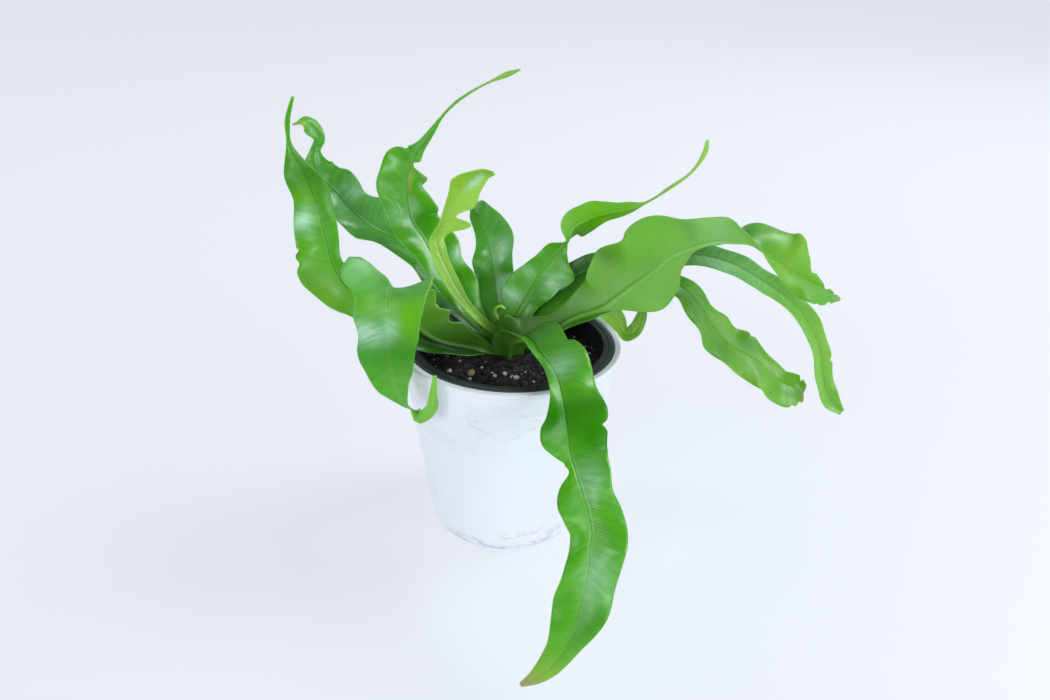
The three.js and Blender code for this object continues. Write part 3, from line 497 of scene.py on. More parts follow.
def filled_in(profile, step):
    """The polyline with points added so that none lie more than step apart."""
    p = np.asarray(profile, float)
    count = np.maximum(1, np.ceil(np.linalg.norm(np.diff(p, axis=0), axis=1) / step)).astype(int)
    position = np.concatenate([[0.0], np.cumsum(count)])
    at = np.arange(position[-1] + 1)
    return np.stack([np.interp(at, position, p[:, k]) for k in range(2)], axis=1)


def turned(profile, sides, centre=(0.0, 0.0)):
    """Points and faces of a body of revolution. Point (i, j) is the profile's point i turned by
    2 pi j / sides round the upright axis through centre; the profile starts and ends on it."""
    p = np.asarray(profile, float)
    inner = p[1:-1]
    angle = 2 * np.pi * np.arange(sides) / sides
    points = np.stack([
        centre[0] + inner[:, :1] * np.cos(angle),
        centre[1] + inner[:, :1] * np.sin(angle),
        np.broadcast_to(inner[:, 1:], (len(inner), sides)),
    ], axis=-1).reshape(-1, 3)
    poles = np.array([[*centre, p[0, 1]], [*centre, p[-1, 1]]])
    return np.concatenate([points, poles]), closed_rings(len(inner), sides)


def moulded(profile, radius, step, sides, centre=(0.0, 0.0)):
    """The polyline as a body of revolution, with its corners rounded and its long parts divided."""
    return turned(filled_in(rounded(profile, radius), step), sides, centre)


def mixed_sines(x, y, seed, count, scale):
    """Smooth noise about from -1 to 1: a sum of count sine waves over the plane, whose directions,
    lengths and starts come from the seed, each shorter wave being lower."""
    draw = np.random.default_rng(seed)
    total = np.zeros(np.broadcast(x, y).shape)
    for k in range(count):
        turn = draw.uniform(0, 2 * np.pi)
        rate = scale * (1.0 + 0.55 * k) * draw.uniform(0.8, 1.25)
        start = draw.uniform(0, 2 * np.pi)
        total += np.sin(rate * (x * np.cos(turn) + y * np.sin(turn)) + start) / (1 + 0.5 * k)
    return total / 2.2


# ---------- Fronds ----------

def smooth_rows(rows, t):
    """Value and rate of each column at the distances t: a cubic through neighbouring rows whose
    slopes are the averages of the chords beside them, each weighted by the other's length."""
    rows = np.asarray(rows, float)
    knots = knots_of(rows)
    gaps = np.diff(knots)
    rate = np.diff(rows, axis=0) / gaps[:, None]
    before, after = gaps[:-1, None], gaps[1:, None]
    inner = (rate[:-1] * after + rate[1:] * before) / (after + before)
    slopes = np.concatenate([rate[:1], inner, rate[-1:]])
    i = np.clip(np.searchsorted(knots, t, side="right") - 1, 0, len(gaps) - 1)
    h = gaps[i][:, None]
    u = (t[:, None] - knots[i][:, None]) / h
    value = (
        (2 * u ** 3 - 3 * u ** 2 + 1) * rows[i] + (u ** 3 - 2 * u ** 2 + u) * h * slopes[i]
        + (3 * u ** 2 - 2 * u ** 3) * rows[i + 1] + (u ** 3 - u ** 2) * h * slopes[i + 1]
    )
    change = (
        (6 * u ** 2 - 6 * u) * (rows[i] - rows[i + 1]) / h
        + (3 * u ** 2 - 4 * u + 1) * slopes[i] + (3 * u ** 2 - 2 * u) * slopes[i + 1]
    )
    return value, change


def knots_of(rows):
    """Distance along the chords from the first row to each row."""
    rows = np.asarray(rows, float)
    return np.concatenate([[0.0], np.cumsum(np.linalg.norm(np.diff(rows[:, :3], axis=0), axis=1))])


def unit(vectors):
    """Each vector divided by its length."""
    return vectors / np.maximum(1e-9, np.linalg.norm(vectors, axis=-1, keepdims=True))


def rib_frames(heading, value, change, root_y):
    """Rib points with the directions along it, to the blade's left side and to its upper face.
    The side is the heading's left made square to the rib, the face their cross product, and
    roll turns both."""
    angle = math.radians(heading)
    axes = np.array([
        [math.cos(angle), math.sin(angle), 0], [0, 0, 1], [-math.sin(angle), math.cos(angle), 0],
    ])
    rib = value[:, :3] @ axes + np.array([0, root_y, 0])
    along = unit(change[:, :3] @ axes)
    left = axes[2]
    side = unit(left - along * (along @ left)[:, None])
    face = np.cross(along, side)
    roll = np.radians(value[:, 3:4])
    turned_side = side * np.cos(roll) + face * np.sin(roll)
    return rib, along, turned_side, face * np.cos(roll) - side * np.sin(roll)


def bitten(nicks, t, left_half):
    """How much of the half width is left at each distance: each nick takes away its depth in a
    notch whose sides curve like the fourth root of the distance from its middle."""
    taken = np.zeros((len(t), len(left_half)))
    for half, run, reach, depth in nicks:
        notch = depth * np.clip(1 - np.abs((t - run) / reach) ** 1.6, 0, 1)
        taken = np.maximum(taken, notch[:, None] * (left_half == (half == 0)))
    return taken


def blade_surface(frond, trim, t, v, root_y):
    """Upper face of a blade at distances t along the rib and v from -1 at the right margin to 1
    at the left one: the rib's point, plus |v| times the half width out along the side, folded up
    and swept forward, plus ruffles that grow with |v| to the power 1.6, plus slanting pleats that
    are two sines of the distance along the rib less half of that from it, plus a bow of a half
    sine across each half."""
    value, change = smooth_rows(frond["rows"], t)
    rib, along, side, face = rib_frames(frond["heading"], value, change, root_y)
    left, right, fold = value[:, 4:5], value[:, 5:6], np.radians(value[:, 6:7])
    out, hand = np.abs(v)[None, :], np.sign(v)[None, :]
    total = t[-1]
    ends = np.minimum(1, np.minimum(t / (0.15 * total), (total - t) / (0.12 * total)))[:, None]
    left_half = v >= 0
    pick = lambda pair: np.where(left_half, pair[0], pair[1])[None, :]
    full = np.maximum(LEAST_HALF, np.where(left_half[None, :], left, right))
    full = np.maximum(LEAST_HALF, full - bitten(trim["nicks"], t, left_half))
    turn = 2 * np.pi * (t[:, None] / frond["pitch"] + pick(frond["phase"]))
    ruffle = ends * np.sin(turn)
    reach = out * full * (1 + pick(frond["gather"]) * ruffle)
    size = np.minimum(1.2, full / 15)
    wave = pick(frond["wave"]) * ruffle * size * out ** 1.6
    slant = 2 * np.pi * (t[:, None] - 0.5 * out * full)
    start = 1.3 * hand + frond["heading"]
    swell = 0.75 + 0.45 * np.sin(slant / 41 + start)
    pleat = (np.sin(slant / 13.5 + start) + 0.3 * np.sin(slant / 8.6 + 2.1 * start)) * swell
    wave = wave + pick(trim["ripple"]) * ends * pleat * size * (out * (1.25 - 0.5 * out))
    bow = trim["gull"] * np.sin(np.pi * out) * size
    points = (
        rib[:, None, :] + frond["lean"] * reach[..., None] * along[:, None, :]
        + (hand * np.cos(fold) * reach)[..., None] * side[:, None, :]
        + (np.sin(fold) * reach + wave + bow)[..., None] * face[:, None, :]
    )
    return points, full


def surface_normals(points):
    """Cross product of the surface's change along the rib and its change across, made unit long."""
    return unit(np.cross(np.gradient(points, axis=0), np.gradient(points, axis=1)))


def stain_and_painted_light_values(trim, kind, t, v):
    """Sum of soft spots: the strength falls off like a bell curve along the rib and across."""
    total = np.zeros((len(t), len(v)))
    for half, run, across, run_reach, across_reach, strength in trim["stains"].get(kind, ()):
        centre = across if half == 0 else -across
        total += strength * np.exp(
            -((t[:, None] - run) / run_reach) ** 2 - ((v[None, :] - centre) / across_reach) ** 2
        )
    return np.clip(total, 0, 1)


def frond_piece(name, settings, material):
    """A closed blade: the upper face gets a groove between two low ridges along the rib, and the
    lower face lies under it by the blade's thickness plus a rounded rib that thins to the tip."""
    frond = FRONDS[name]
    trim = TRIMS[name]
    total = knots_of(frond["rows"])[-1]
    t = np.linspace(0, total, int(round(total * MM / settings.step)) + 1)
    s = np.linspace(-1, 1, settings.columns)
    v = np.sign(s) * np.abs(s) ** 1.5
    upper, full = blade_surface(frond, trim, t, v, settings.root_y / MM)
    normal = surface_normals(upper)
    out = np.abs(v)[None, :]
    offset = out * full
    fade = np.clip(1.15 - t / total, 0, 1)[:, None] * np.clip(full / 6, 0.15, 1)
    groove = 0.24 * np.exp(-((offset - 1.0) / 0.6) ** 2) - 0.24 * np.exp(-(offset / 0.5) ** 2)
    upper = upper + (trim["crease"] * groove * fade)[..., None] * normal
    thin = settings.margin / MM
    body = thin + (settings.thickness / MM - thin) * (1 - out ** 2)
    rib = settings.rib / MM * (1 - t / total)[:, None] * np.exp(-(offset / 1.1) ** 2)
    ridge = 0.35 * fade * np.exp(-(offset / 0.6) ** 2)
    lower = upper - (body + rib + ridge)[..., None] * normal
    ring = np.concatenate([upper, lower[:, ::-1]], axis=1)
    rows, around = ring.shape[:2]
    columns = len(v)
    k = np.arange(columns - 1)
    start = np.stack([k, k + 1, around - 2 - k, around - 1 - k], axis=1)
    end = (rows - 1) * around + np.stack([k, around - 1 - k, around - 2 - k, k + 1], axis=1)
    both = lambda grid: np.concatenate([grid, grid[:, ::-1]], axis=1)
    run = np.broadcast_to(t[:, None], full.shape)
    attributes = {
        "run": both(run),
        "side": both(np.sign(v)[None, :] * offset),
        "rim": both((1 - out) * full),
        "under": np.concatenate([np.zeros_like(full), np.ones_like(full)], axis=1),
        "tip": both(run / total),
    }
    for kind in STAINS:
        attributes[kind] = both(stain_and_painted_light_values(trim, kind, t, v))
    # Painted shade close to the crown, fading over some 18 millimetres along the rib.
    crown_shade = both(settings.hollow * np.exp(-(run / 18) ** 2))
    attributes["shade"] = np.maximum(attributes["shade"], crown_shade)
    return mesh_piece(
        name + "_blade", ring.reshape(-1, 3) * MM,
        [grid_quads(rows, around, wrap=True), start, end], [material], attributes,
    )


# ---------- Shader nodes ----------

class Nodes:
    """Short ways to place and join shader nodes in one tree."""

    def __init__(self, tree):
        self.tree = tree

    def add(self, kind, **values):
        node = self.tree.nodes.new("ShaderNode" + kind)
        for key, value in values.items():
            setattr(node, key, value)
        return node

    def put(self, socket, value):
        """Joins a socket to another, or sets it."""
        if isinstance(value, bpy.types.NodeSocket):
            self.tree.links.new(value, socket)
        elif hasattr(socket.default_value, "__len__") and not hasattr(value, "__len__"):
            socket.default_value = (value,) * len(socket.default_value)
        elif hasattr(value, "__len__") and len(value) == 3 and socket.type == "RGBA":
            socket.default_value = (*value, 1)
        else:
            socket.default_value = value

    def attribute(self, name):
        return self.add("Attribute", attribute_name=name).outputs["Fac"]

    def feed(self, node, *values, **named):
        """Gives the node's inputs their values, in order or by name, and returns its outputs."""
        for socket, value in zip(node.inputs, values):
            self.put(socket, value)
        for key, value in named.items():
            self.put(node.inputs[key], value)
        return node.outputs

    def math(self, operation, a, b=0.0, c=0.0, clamp=False):
        return self.feed(self.add("Math", operation=operation, use_clamp=clamp), a, b, c)[0]

    def times(self, a, b):
        return self.math("MULTIPLY", a, b)

    def plus(self, a, b, clamp=False):
        return self.math("ADD", a, b, clamp=clamp)

    def less(self, a, b):
        return self.math("SUBTRACT", a, b)

    def mix(self, factor, a, b, blend="MIX"):
        node = self.add("Mix", data_type="RGBA", blend_type=blend)
        return self.feed(node, Factor=factor, A=a, B=b)["Result"]

    def ramp(self, value, low, high, to_low=0.0, to_high=1.0):
        """The value carried smoothly from low and high to to_low and to_high."""
        node = self.add("MapRange", interpolation_type="SMOOTHSTEP")
        return self.feed(node, value, low, high, to_low, to_high)[0]

    def vector(self, x, y, z=0.0):
        return self.feed(self.add("CombineXYZ"), x, y, z)[0]

    def split(self, vector):
        return self.feed(self.add("SeparateXYZ"), vector)

    def noise(self, vector, scale, detail=3.0, roughness=0.5, distortion=0.0):
        return self.feed(
            self.add("TexNoise"), Vector=vector, Scale=scale, Detail=detail, Roughness=roughness,
            Distortion=distortion,
        )["Fac"]

    def cells(self, vector, scale):
        return self.feed(self.add("TexVoronoi", feature="F1"), Vector=vector, Scale=scale)

    def far_from(self, value, middle):
        """How far the value lies from the middle, on either side."""
        return self.math("ABSOLUTE", self.less(value, middle))

    def place(self):
        return self.add("TexCoord").outputs["Object"]

    def bump(self, height, distance, strength):
        node = self.add("Bump")
        return self.feed(node, Height=height, Distance=distance, Strength=strength)["Normal"]

    def group(self, tree, **values):
        return self.feed(self.add("Group", node_tree=tree), **values)


def node_group(name, inputs, outputs):
    """An empty shader group with named number sockets, and its helpers."""
    tree = bpy.data.node_groups.new(name, "ShaderNodeTree")
    for way, keys in (("INPUT", inputs), ("OUTPUT", outputs)):
        for key in keys:
            tree.interface.new_socket(key, in_out=way, socket_type="NodeSocketFloat")
    source = tree.nodes.new("NodeGroupInput").outputs
    target = tree.nodes.new("NodeGroupOutput").inputs
    return tree, Nodes(tree), source, target


def finish_material(name, **values):
    """A material of one Principled shader: its nodes, and a function that sets its sockets."""
    material = bpy.data.materials.new(name)
    material.use_nodes = True
    tree = material.node_tree
    tree.nodes.clear()
    nodes = Nodes(tree)
    shader = nodes.add("BsdfPrincipled")
    output = nodes.add("OutputMaterial")
    tree.links.new(shader.outputs[0], output.inputs[0])

    def give(**sockets):
        for key, value in sockets.items():
            nodes.put(shader.inputs[key.replace("_", " ")], value)

    give(**values)
    return material, nodes, give


def vein_group():
    """Fine side veins of a blade. They leave the rib at a slant towards the tip: a sine over the
    distance along the rib less 0.45 of the distance from it, bent a little by noise."""
    tree, n, source, target = node_group(
        "Side veins", ("Run", "Side", "Spacing"), ("Lines", "Streaks", "Mottle"),
    )
    out = n.math("ABSOLUTE", source["Side"])
    slant = n.less(source["Run"], n.times(out, 0.45))
    flat = n.vector(source["Run"], source["Side"])
    bend = n.times(n.noise(flat, 0.22, detail=1), 2.2)
    phase = n.math("DIVIDE", n.plus(slant, bend), source["Spacing"])
    sine = n.math("SINE", n.times(phase, 2 * math.pi))
    n.put(target["Lines"], n.math("MULTIPLY_ADD", sine, 0.5, 0.5))
    sideways = n.times(source["Side"], 0.16)
    n.put(target["Streaks"], n.noise(n.vector(phase, sideways), 0.55, detail=2))
    n.put(target["Mottle"], n.noise(flat, 0.11, detail=3))
    return tree


def leaf_material(name, settings, veins, upper, deep, under, roughness, glow):
    """A waxy blade: green between paler rib, side veins and margins, duller and yellower below."""
    material, n, give = finish_material(
        name, IOR=1.5, Subsurface_Weight=glow, Subsurface_Radius=(0.5, 1.0, 0.2),
        Subsurface_Scale=0.0012,
    )
    side = n.attribute("side")
    out = n.math("ABSOLUTE", side)
    below = n.attribute("under")
    rim = n.attribute("rim")
    pattern = n.group(veins, Run=n.attribute("run"), Side=side, Spacing=1.15)
    face = n.mix(n.ramp(pattern["Streaks"], 0.25, 0.75, 0.35, 1.0), deep, upper)
    face = n.mix(n.times(pattern["Lines"], 0.04), face, settings.pale)
    face = n.mix(n.ramp(pattern["Mottle"], 0.35, 0.75, 0.0, 0.35), face, deep)
    back = n.mix(n.ramp(pattern["Streaks"], 0.3, 0.75, 0.0, 0.35), under, upper)
    back = n.mix(n.times(pattern["Lines"], 0.10), back, settings.pale)
    body = n.mix(below, face, back)
    ridge = n.less(n.ramp(out, 1.25, 0.75), n.ramp(out, 0.5, 0.2))
    ridge = n.times(ridge, n.ramp(n.attribute("tip"), 1.0, 0.5, 0.05, 0.4))
    keel = n.ramp(out, 0.6, 0.25, 0.0, 0.45)
    nerve = n.plus(n.times(ridge, n.less(1.0, below)), n.times(keel, below), clamp=True)
    body = n.mix(nerve, body, settings.pale)
    body = n.mix(n.ramp(rim, 0.45, 0.1, 0.0, 0.5), body, settings.pale)
    for kind in ("warm", "cool", "tender", "bright", "rich"):
        body = n.mix(n.attribute(kind), body, getattr(settings, kind))
    # Painted shade: where the shade marks lie, the colour is multiplied down towards (0.28, 0.34,
    # 0.22) of itself.
    body = n.mix(n.attribute("shade"), body, n.mix(1.0, body, (0.28, 0.34, 0.22), "MULTIPLY"))
    # Painted highlight: whitish patches, weaker on the underside; a few of these marks are small
    # real pale spots.
    bloom = n.times(n.attribute("bloom"), n.ramp(pattern["Streaks"], 0.2, 0.7, 0.45, 0.8))
    bloom = n.times(bloom, n.math("MULTIPLY_ADD", below, -0.4, 1.0))
    body = n.mix(bloom, body, settings.bloom)
    fray = n.noise(n.vector(n.attribute("run"), n.times(side, 0.2)), 0.35, detail=4)
    fray = n.times(n.ramp(rim, 0.35, 0.1), n.ramp(fray, 0.60, 0.72, 0.0, 0.55))
    body = n.mix(n.math("MAXIMUM", n.attribute("dry"), fray), body, settings.dry)
    gloss = n.ramp(pattern["Mottle"], 0.3, 0.8, roughness - 0.03, roughness + 0.05)
    gloss = n.plus(gloss, n.plus(n.times(below, 0.16), n.times(n.attribute("matt"), 0.14)))
    height = n.plus(n.times(pattern["Lines"], 0.25), n.times(pattern["Streaks"], 1.2))
    dull = n.math("MAXIMUM", n.attribute("rich"), n.attribute("matt"))
    wax = n.math("MULTIPLY_ADD", dull, -0.4, 0.55, clamp=True)
    give(
        Base_Color=body, Roughness=gloss, Specular_IOR_Level=wax,
        Normal=n.bump(height, 0.00018, 0.4),
    )
    return material


def glaze_material(settings):
    """White satin glaze with thin drifting grey-blue veins, drawn out level round the pot."""
    material, n, give = finish_material(
        "White glaze", IOR=1.5, Coat_Weight=0.15, Coat_Roughness=0.12,
    )
    x, y, z = n.split(n.place())
    level = n.vector(n.times(x, 14), n.times(y, 14), n.times(z, 62))
    drift = n.noise(level, 1.0, detail=6, roughness=0.62, distortion=0.6)
    line = n.ramp(n.far_from(drift, 0.5), 0.028, 0.0)
    cloud = n.noise(level, 0.45, detail=2)
    low = n.ramp(z, 0.055, 0.026, 0.3, 1.0)
    rim = n.ramp(z, 0.086, 0.096, 0.0, 0.5)
    share = n.times(n.ramp(cloud, 0.42, 0.62), n.math("MAXIMUM", low, rim))
    body = n.mix(n.times(n.times(line, share), 0.6), settings.glaze, settings.vein)
    haze = n.times(n.ramp(cloud, 0.5, 0.7), n.times(low, 0.12))
    body = n.mix(haze, body, settings.vein)
    patches = n.noise(n.place(), 60, detail=3)
    give(Base_Color=body, Roughness=n.ramp(patches, 0.3, 0.7, 0.30, 0.40))
    return material


def plastic_material(settings):
    """Black moulded plastic with faint dust and fine turning marks, and painted highlight lines
    along the rim's outer edge and beside its groove.
    """
    material, n, give = finish_material("Black plastic", IOR=1.5)
    place = n.place()
    x, y, z = n.split(place)
    dust = n.noise(place, 900, detail=4)
    body = n.mix(n.ramp(dust, 0.55, 0.85, 0.0, 0.25), settings.plastic, (0.09, 0.09, 0.10))
    radius = n.math("SQRT", n.plus(n.times(x, x), n.times(y, y)))
    # Painted highlight: paler lines at radii 51.9 and 50.4 millimetres, along the rim's outer edge
    # and beside its groove.
    painted_lip_highlight = n.math("MINIMUM", n.far_from(radius, 0.0519), n.far_from(radius, 0.0504))
    body = n.mix(n.ramp(painted_lip_highlight, 0.00035, 0.0, 0.0, 0.6), body, (0.14, 0.15, 0.18))
    rings = n.math("SINE", n.times(z, 9000))
    height = n.plus(n.times(rings, 0.3), dust)
    dull = n.ramp(dust, 0.3, 0.8, 0.32, 0.55)
    give(Base_Color=body, Roughness=dull, Normal=n.bump(height, 0.00005, 0.4))
    return material


def soil_material(settings):
    """Dark crumbly soil with specks."""
    material, n, give = finish_material("Soil", IOR=1.4, Specular_IOR_Level=0.25)
    place = n.place()
    lumps = n.noise(place, 420, detail=6, roughness=0.65)
    body = n.mix(n.ramp(lumps, 0.38, 0.66), tuple(c * 0.2 for c in settings.earth), settings.earth)
    specks = n.cells(place, 900)
    body = n.mix(n.ramp(specks["Distance"], 0.14, 0.05, 0.0, 0.8), body, (0.36, 0.33, 0.30))
    give(Base_Color=body, Roughness=0.92, Normal=n.bump(lumps, 0.0009, 0.8))
    return material


def mineral_material(name, shade, pit_share):
    """Porous pale grain with small pits, as dark as pit_share of its shade."""
    material, n, give = finish_material(name, IOR=1.45)
    place = n.place()
    pits = n.noise(place, 1500, detail=4, roughness=0.6)
    body = n.mix(n.ramp(pits, 0.35, 0.6), tuple(c * pit_share for c in shade), shade)
    give(Base_Color=body, Roughness=0.85, Normal=n.bump(pits, 0.0003, 0.7))
    return material


def crown_material(settings):
    """Brown scaly crown, streaked lengthwise."""
    material, n, give = finish_material("Rhizome scales", IOR=1.4)
    x, y, z = n.split(n.place())
    lengthwise = n.vector(n.times(x, 900), n.times(y, 900), n.times(z, 180))
    streak = n.noise(lengthwise, 1.0, detail=4)
    body = n.mix(n.ramp(streak, 0.3, 0.7), tuple(c * 0.3 for c in settings.scale), settings.scale)
    give(Base_Color=body, Roughness=0.8, Normal=n.bump(streak, 0.0006, 0.8))
    return material


# ---------- Pots, soil and crown ----------

def outer_pot_profile(p):
    """Outline of the outer pot: from the middle of its foot, which is a little hollow, up the
    outside, over the rim band and down the inside to its floor."""
    foot, hollow, floor = p.foot_radius, 0.8 * MM, 4 * MM
    band = p.height - 3.2 * MM
    under_band = foot + (p.rim_radius - 0.5 * MM - foot) * band / p.height
    return [
        (0, hollow), (foot - 3.2 * MM, hollow), (foot - 2.6 * MM, 0), (foot - 0.9 * MM, 0),
        (foot, 1.0 * MM), (under_band, band), (p.rim_radius, band + 0.5 * MM),
        (p.rim_radius, p.height), (p.mouth_radius, p.height),
        (p.mouth_radius - 0.4 * MM, 86 * MM), (foot - 3.4 * MM, 5 * MM),
        (foot - 4.4 * MM, floor), (0, floor),
    ]


def nursery_profile(p):
    """Outline of the nursery pot: a thin wall round a flat floor, and a flat flange with a groove
    and a short skirt at the top."""
    outer, inner, top = p.nursery_radius, p.nursery_inner, p.nursery_top
    foot, floor, wall, groove = 34.6 * MM, 4.3 * MM, 1.2 * MM, 49.8 * MM
    neck, skirt, under_rim, dip = top - 10 * MM, top - 3.4 * MM, top - 1.4 * MM, top - 0.6 * MM
    return [
        (0, floor), (foot, floor), (inner + wall, neck), (inner + wall, under_rim),
        (outer - wall, under_rim), (outer - 0.9 * MM, skirt), (outer - 0.1 * MM, skirt),
        (outer, top), (groove + 0.6 * MM, top), (groove + 0.3 * MM, dip),
        (groove - 0.3 * MM, dip), (groove - 0.6 * MM, top), (inner, top), (inner, neck),
        (foot - wall, floor + wall), (0, floor + wall),
    ]


def soil_height(x, y):
    """Height over the soil's level: a low mound and two slow waves, as in the solid."""
    crumbs = 0.35 * np.sin(x * 0.9 + 1) * np.cos(y * 0.8) + 0.3 * np.sin(x * 0.37 - y * 0.53)
    return 1.6 * np.exp(-(x * x + y * y) / 500) + crumbs


def on_soil(top, x, y, lift):
    """Points at x and y that lie lift above the soil whose level is top."""
    return np.stack([x, y, top + soil_height(x, y) + lift], axis=1)


def soil_surface(s, rings, sides):
    """Soil as one closed surface of two parameters, ring and angle: up the outside, in over the
    top with crumbs of noise added to its height, and down the hole that holds the crown."""
    top = s.top / MM
    hole = s.crown_radius / MM + 0.3
    edge = s.edge_radius / MM
    share = np.linspace(0, 1, rings)
    foot, bottom, hole_floor = 33.1, 5.8, 80
    radius = np.concatenate([
        [foot * 0.6, foot, 45.8, edge - 0.2], edge + (hole - edge) * share, [hole, hole * 0.5],
    ])
    level = np.concatenate([[bottom, bottom, 88, 91], np.full(rings, top), [hole_floor] * 2])
    shift = s.crown_y / MM * np.concatenate([[0, 0, 0, 0], share, [1, 1]])
    angle = 2 * np.pi * np.arange(sides) / sides
    x = radius[:, None] * np.cos(angle)
    y = radius[:, None] * np.sin(angle) + shift[:, None]
    z = np.broadcast_to(level[:, None], x.shape).copy()
    on_top = slice(4, 4 + rings)
    ease = np.minimum(1, 6 * np.minimum(share, 1 - share))[:, None]
    xt, yt = x[on_top], y[on_top]
    rough = 0.9 * mixed_sines(xt, yt, 3, 9, 1.1) + 0.5 * mixed_sines(xt, yt, 8, 9, 2.6)
    z[on_top] += soil_height(xt, yt) + ease * rough * 0.8
    points = np.stack([x, y, z], axis=-1).reshape(-1, 3)
    poles = np.array([[0, 0, bottom], [0, s.crown_y / MM, hole_floor]])
    return np.concatenate([points, poles]), closed_rings(len(radius), sides)


def ball_grid(sides=6, rings=5):
    """Unit vectors of a coarse ball with its faces: rings of latitude between two poles."""
    tilt = np.linspace(-np.pi / 2, np.pi / 2, rings)
    return turned(np.stack([np.cos(tilt), np.sin(tilt)], axis=1), sides)


def strewn(draw, count, start, width, least, spread):
    """x, y and half size of count lumps, strewn evenly over a ring that begins at the radius start
    and is width broad. A size is least plus spread times the square of a random number."""
    reach = start + width * np.sqrt(draw.uniform(size=count))
    angle = draw.uniform(0, 2 * np.pi, count)
    size = least + spread * draw.uniform(size=count) ** 2
    return np.stack([reach * np.cos(angle), reach * np.sin(angle), size], axis=1)


def scattered(places, sizes, seed, squash=0.8, rough=0.25):
    """Many small lumps as one set of points and faces: each is the coarse ball scaled by its size,
    its radii changed at random by up to rough, turned about a random axis and moved to its
    place."""
    ball, faces = ball_grid()
    draw = np.random.default_rng(seed)
    count = len(places)
    stretch = draw.uniform(1 - rough, 1 + rough, (count, 1, 3)) * np.array([1, 1, squash])
    bumps = draw.uniform(1 - rough, 1 + rough, (count, len(ball), 1))
    axis = unit(draw.normal(size=(count, 4)))
    w, x, y, z = (axis[:, k] for k in range(4))
    turn = np.stack([
        1 - 2 * (y * y + z * z), 2 * (x * y - w * z), 2 * (x * z + w * y),
        2 * (x * y + w * z), 1 - 2 * (x * x + z * z), 2 * (y * z - w * x),
        2 * (x * z - w * y), 2 * (y * z + w * x), 1 - 2 * (x * x + y * y),
    ], axis=1).reshape(count, 3, 3)
    lumps = ball[None] * bumps * stretch * np.asarray(sizes)[:, None, None]
    lumps = np.einsum("nij,nkj->nki", turn, lumps) + np.asarray(places)[:, None, :]
    shift = (np.arange(count) * len(ball))[:, None, None]
    return lumps.reshape(-1, 3), [(f[None] + shift).reshape(-1, f.shape[1]) for f in faces]


def joined(parts):
    """Several sets of points and faces as one, with the number of the part of every face."""
    points, quads, triangles, quad_part, triangle_part = [], [], [], [], []
    start = 0
    for number, (p, faces) in enumerate(parts):
        points.append(p)
        for f in faces:
            (quads if f.shape[1] == 4 else triangles).append(f + start)
            (quad_part if f.shape[1] == 4 else triangle_part).append(np.full(len(f), number))
        start += len(p)
    faces = [np.concatenate(quads), np.concatenate(triangles)]
    return np.concatenate(points), faces, np.concatenate(quad_part + triangle_part)


# ---------- Operators ----------

class FERN_OT_outer_pot(bpy.types.Operator):
    """Make the white outer pot"""

    bl_idname = "fern.outer_pot"
    bl_label = "Outer pot"

    def execute(self, context):
        settings = context.scene.fern_pots
        points, faces = moulded(outer_pot_profile(settings), 0.7 * MM, 4 * MM, 192)
        piece = mesh_piece("outer_pot_glazed", points, faces, [glaze_material(settings)])
        stand_for(piece, "outer_pot")
        return {"FINISHED"}


class FERN_OT_nursery_pot(bpy.types.Operator):
    """Make the black nursery pot inside the outer one"""

    bl_idname = "fern.nursery_pot"
    bl_label = "Nursery pot"

    def execute(self, context):
        settings = context.scene.fern_pots
        points, faces = moulded(nursery_profile(settings), 0.25 * MM, 5 * MM, 176)
        piece = mesh_piece("nursery_pot_moulded", points, faces, [plastic_material(settings)])
        stand_for(piece, "nursery_pot")
        return {"FINISHED"}


class FERN_OT_soil(bpy.types.Operator):
    """Make the soil with its crumbs, pale grains and pebble"""

    bl_idname = "fern.soil"
    bl_label = "Soil"

    def execute(self, context):
        settings = context.scene.fern_soil
        top = settings.top / MM
        draw = np.random.default_rng(12)
        body = soil_surface(settings, rings=90, sides=220)
        x, y, size = strewn(draw, settings.crumbs, 11, 34.5, least=0.35, spread=0.75).T
        crumbs = scattered(on_soil(top, x, y, 0.1), size, seed=21)
        bits = strewn(draw, FINE_GRAINS, 9, 36, least=0.2, spread=0.35)
        x, y, size = np.concatenate([np.array(GRAINS), bits]).T
        grains = scattered(on_soil(top, x, y, 0.3 * size), size, seed=5, rough=0.18)
        x, y, size = np.array([PEBBLE]).T
        pebble = scattered(on_soil(top, x, y, 0.4 * size), size, seed=9, squash=0.75, rough=0.12)
        points, faces, part = joined([body, crumbs, grains, pebble])
        materials = [
            soil_material(settings),
            mineral_material("Pale grains", settings.grain, 0.45),
            mineral_material("Tan pebble", settings.pebble, 0.5),
        ]
        piece = mesh_piece(
            "soil_with_grains", points * MM, faces, materials,
            material_index=np.maximum(0, part - 1),
        )
        stand_for(piece, "soil")
        return {"FINISHED"}


class FERN_OT_crown(bpy.types.Operator):
    """Make the scaly crown that the fronds grow from"""

    bl_idname = "fern.crown"
    bl_label = "Rhizome"

    def execute(self, context):
        settings = context.scene.fern_soil
        radius, top, base = settings.crown_radius, settings.top, 80.3 * MM
        points, faces = moulded([
            (0, base), (radius - 2 * MM, base), (radius, 83 * MM), (radius, top + 0.6 * MM),
            (radius - 0.5 * MM, top + 2.4 * MM), (radius - 2 * MM, top + 3.6 * MM),
            (radius - 4.5 * MM, top + 4.4 * MM), (0, top + 4.7 * MM),
        ], 0.8 * MM, 0.7 * MM, 72, (0.0, settings.crown_y))
        around = np.arctan2(points[:, 1] - settings.crown_y, points[:, 0])
        scale = np.abs(np.sin(9 * around + 600 * points[:, 2])) * 0.25 * MM
        outward = unit(np.stack([np.cos(around), np.sin(around), 0 * around], axis=1))
        points = points - outward * scale[:, None]
        piece = mesh_piece("crown_scaly", points, faces, [crown_material(settings)])
        stand_for(piece, "crown")
        return {"FINISHED"}


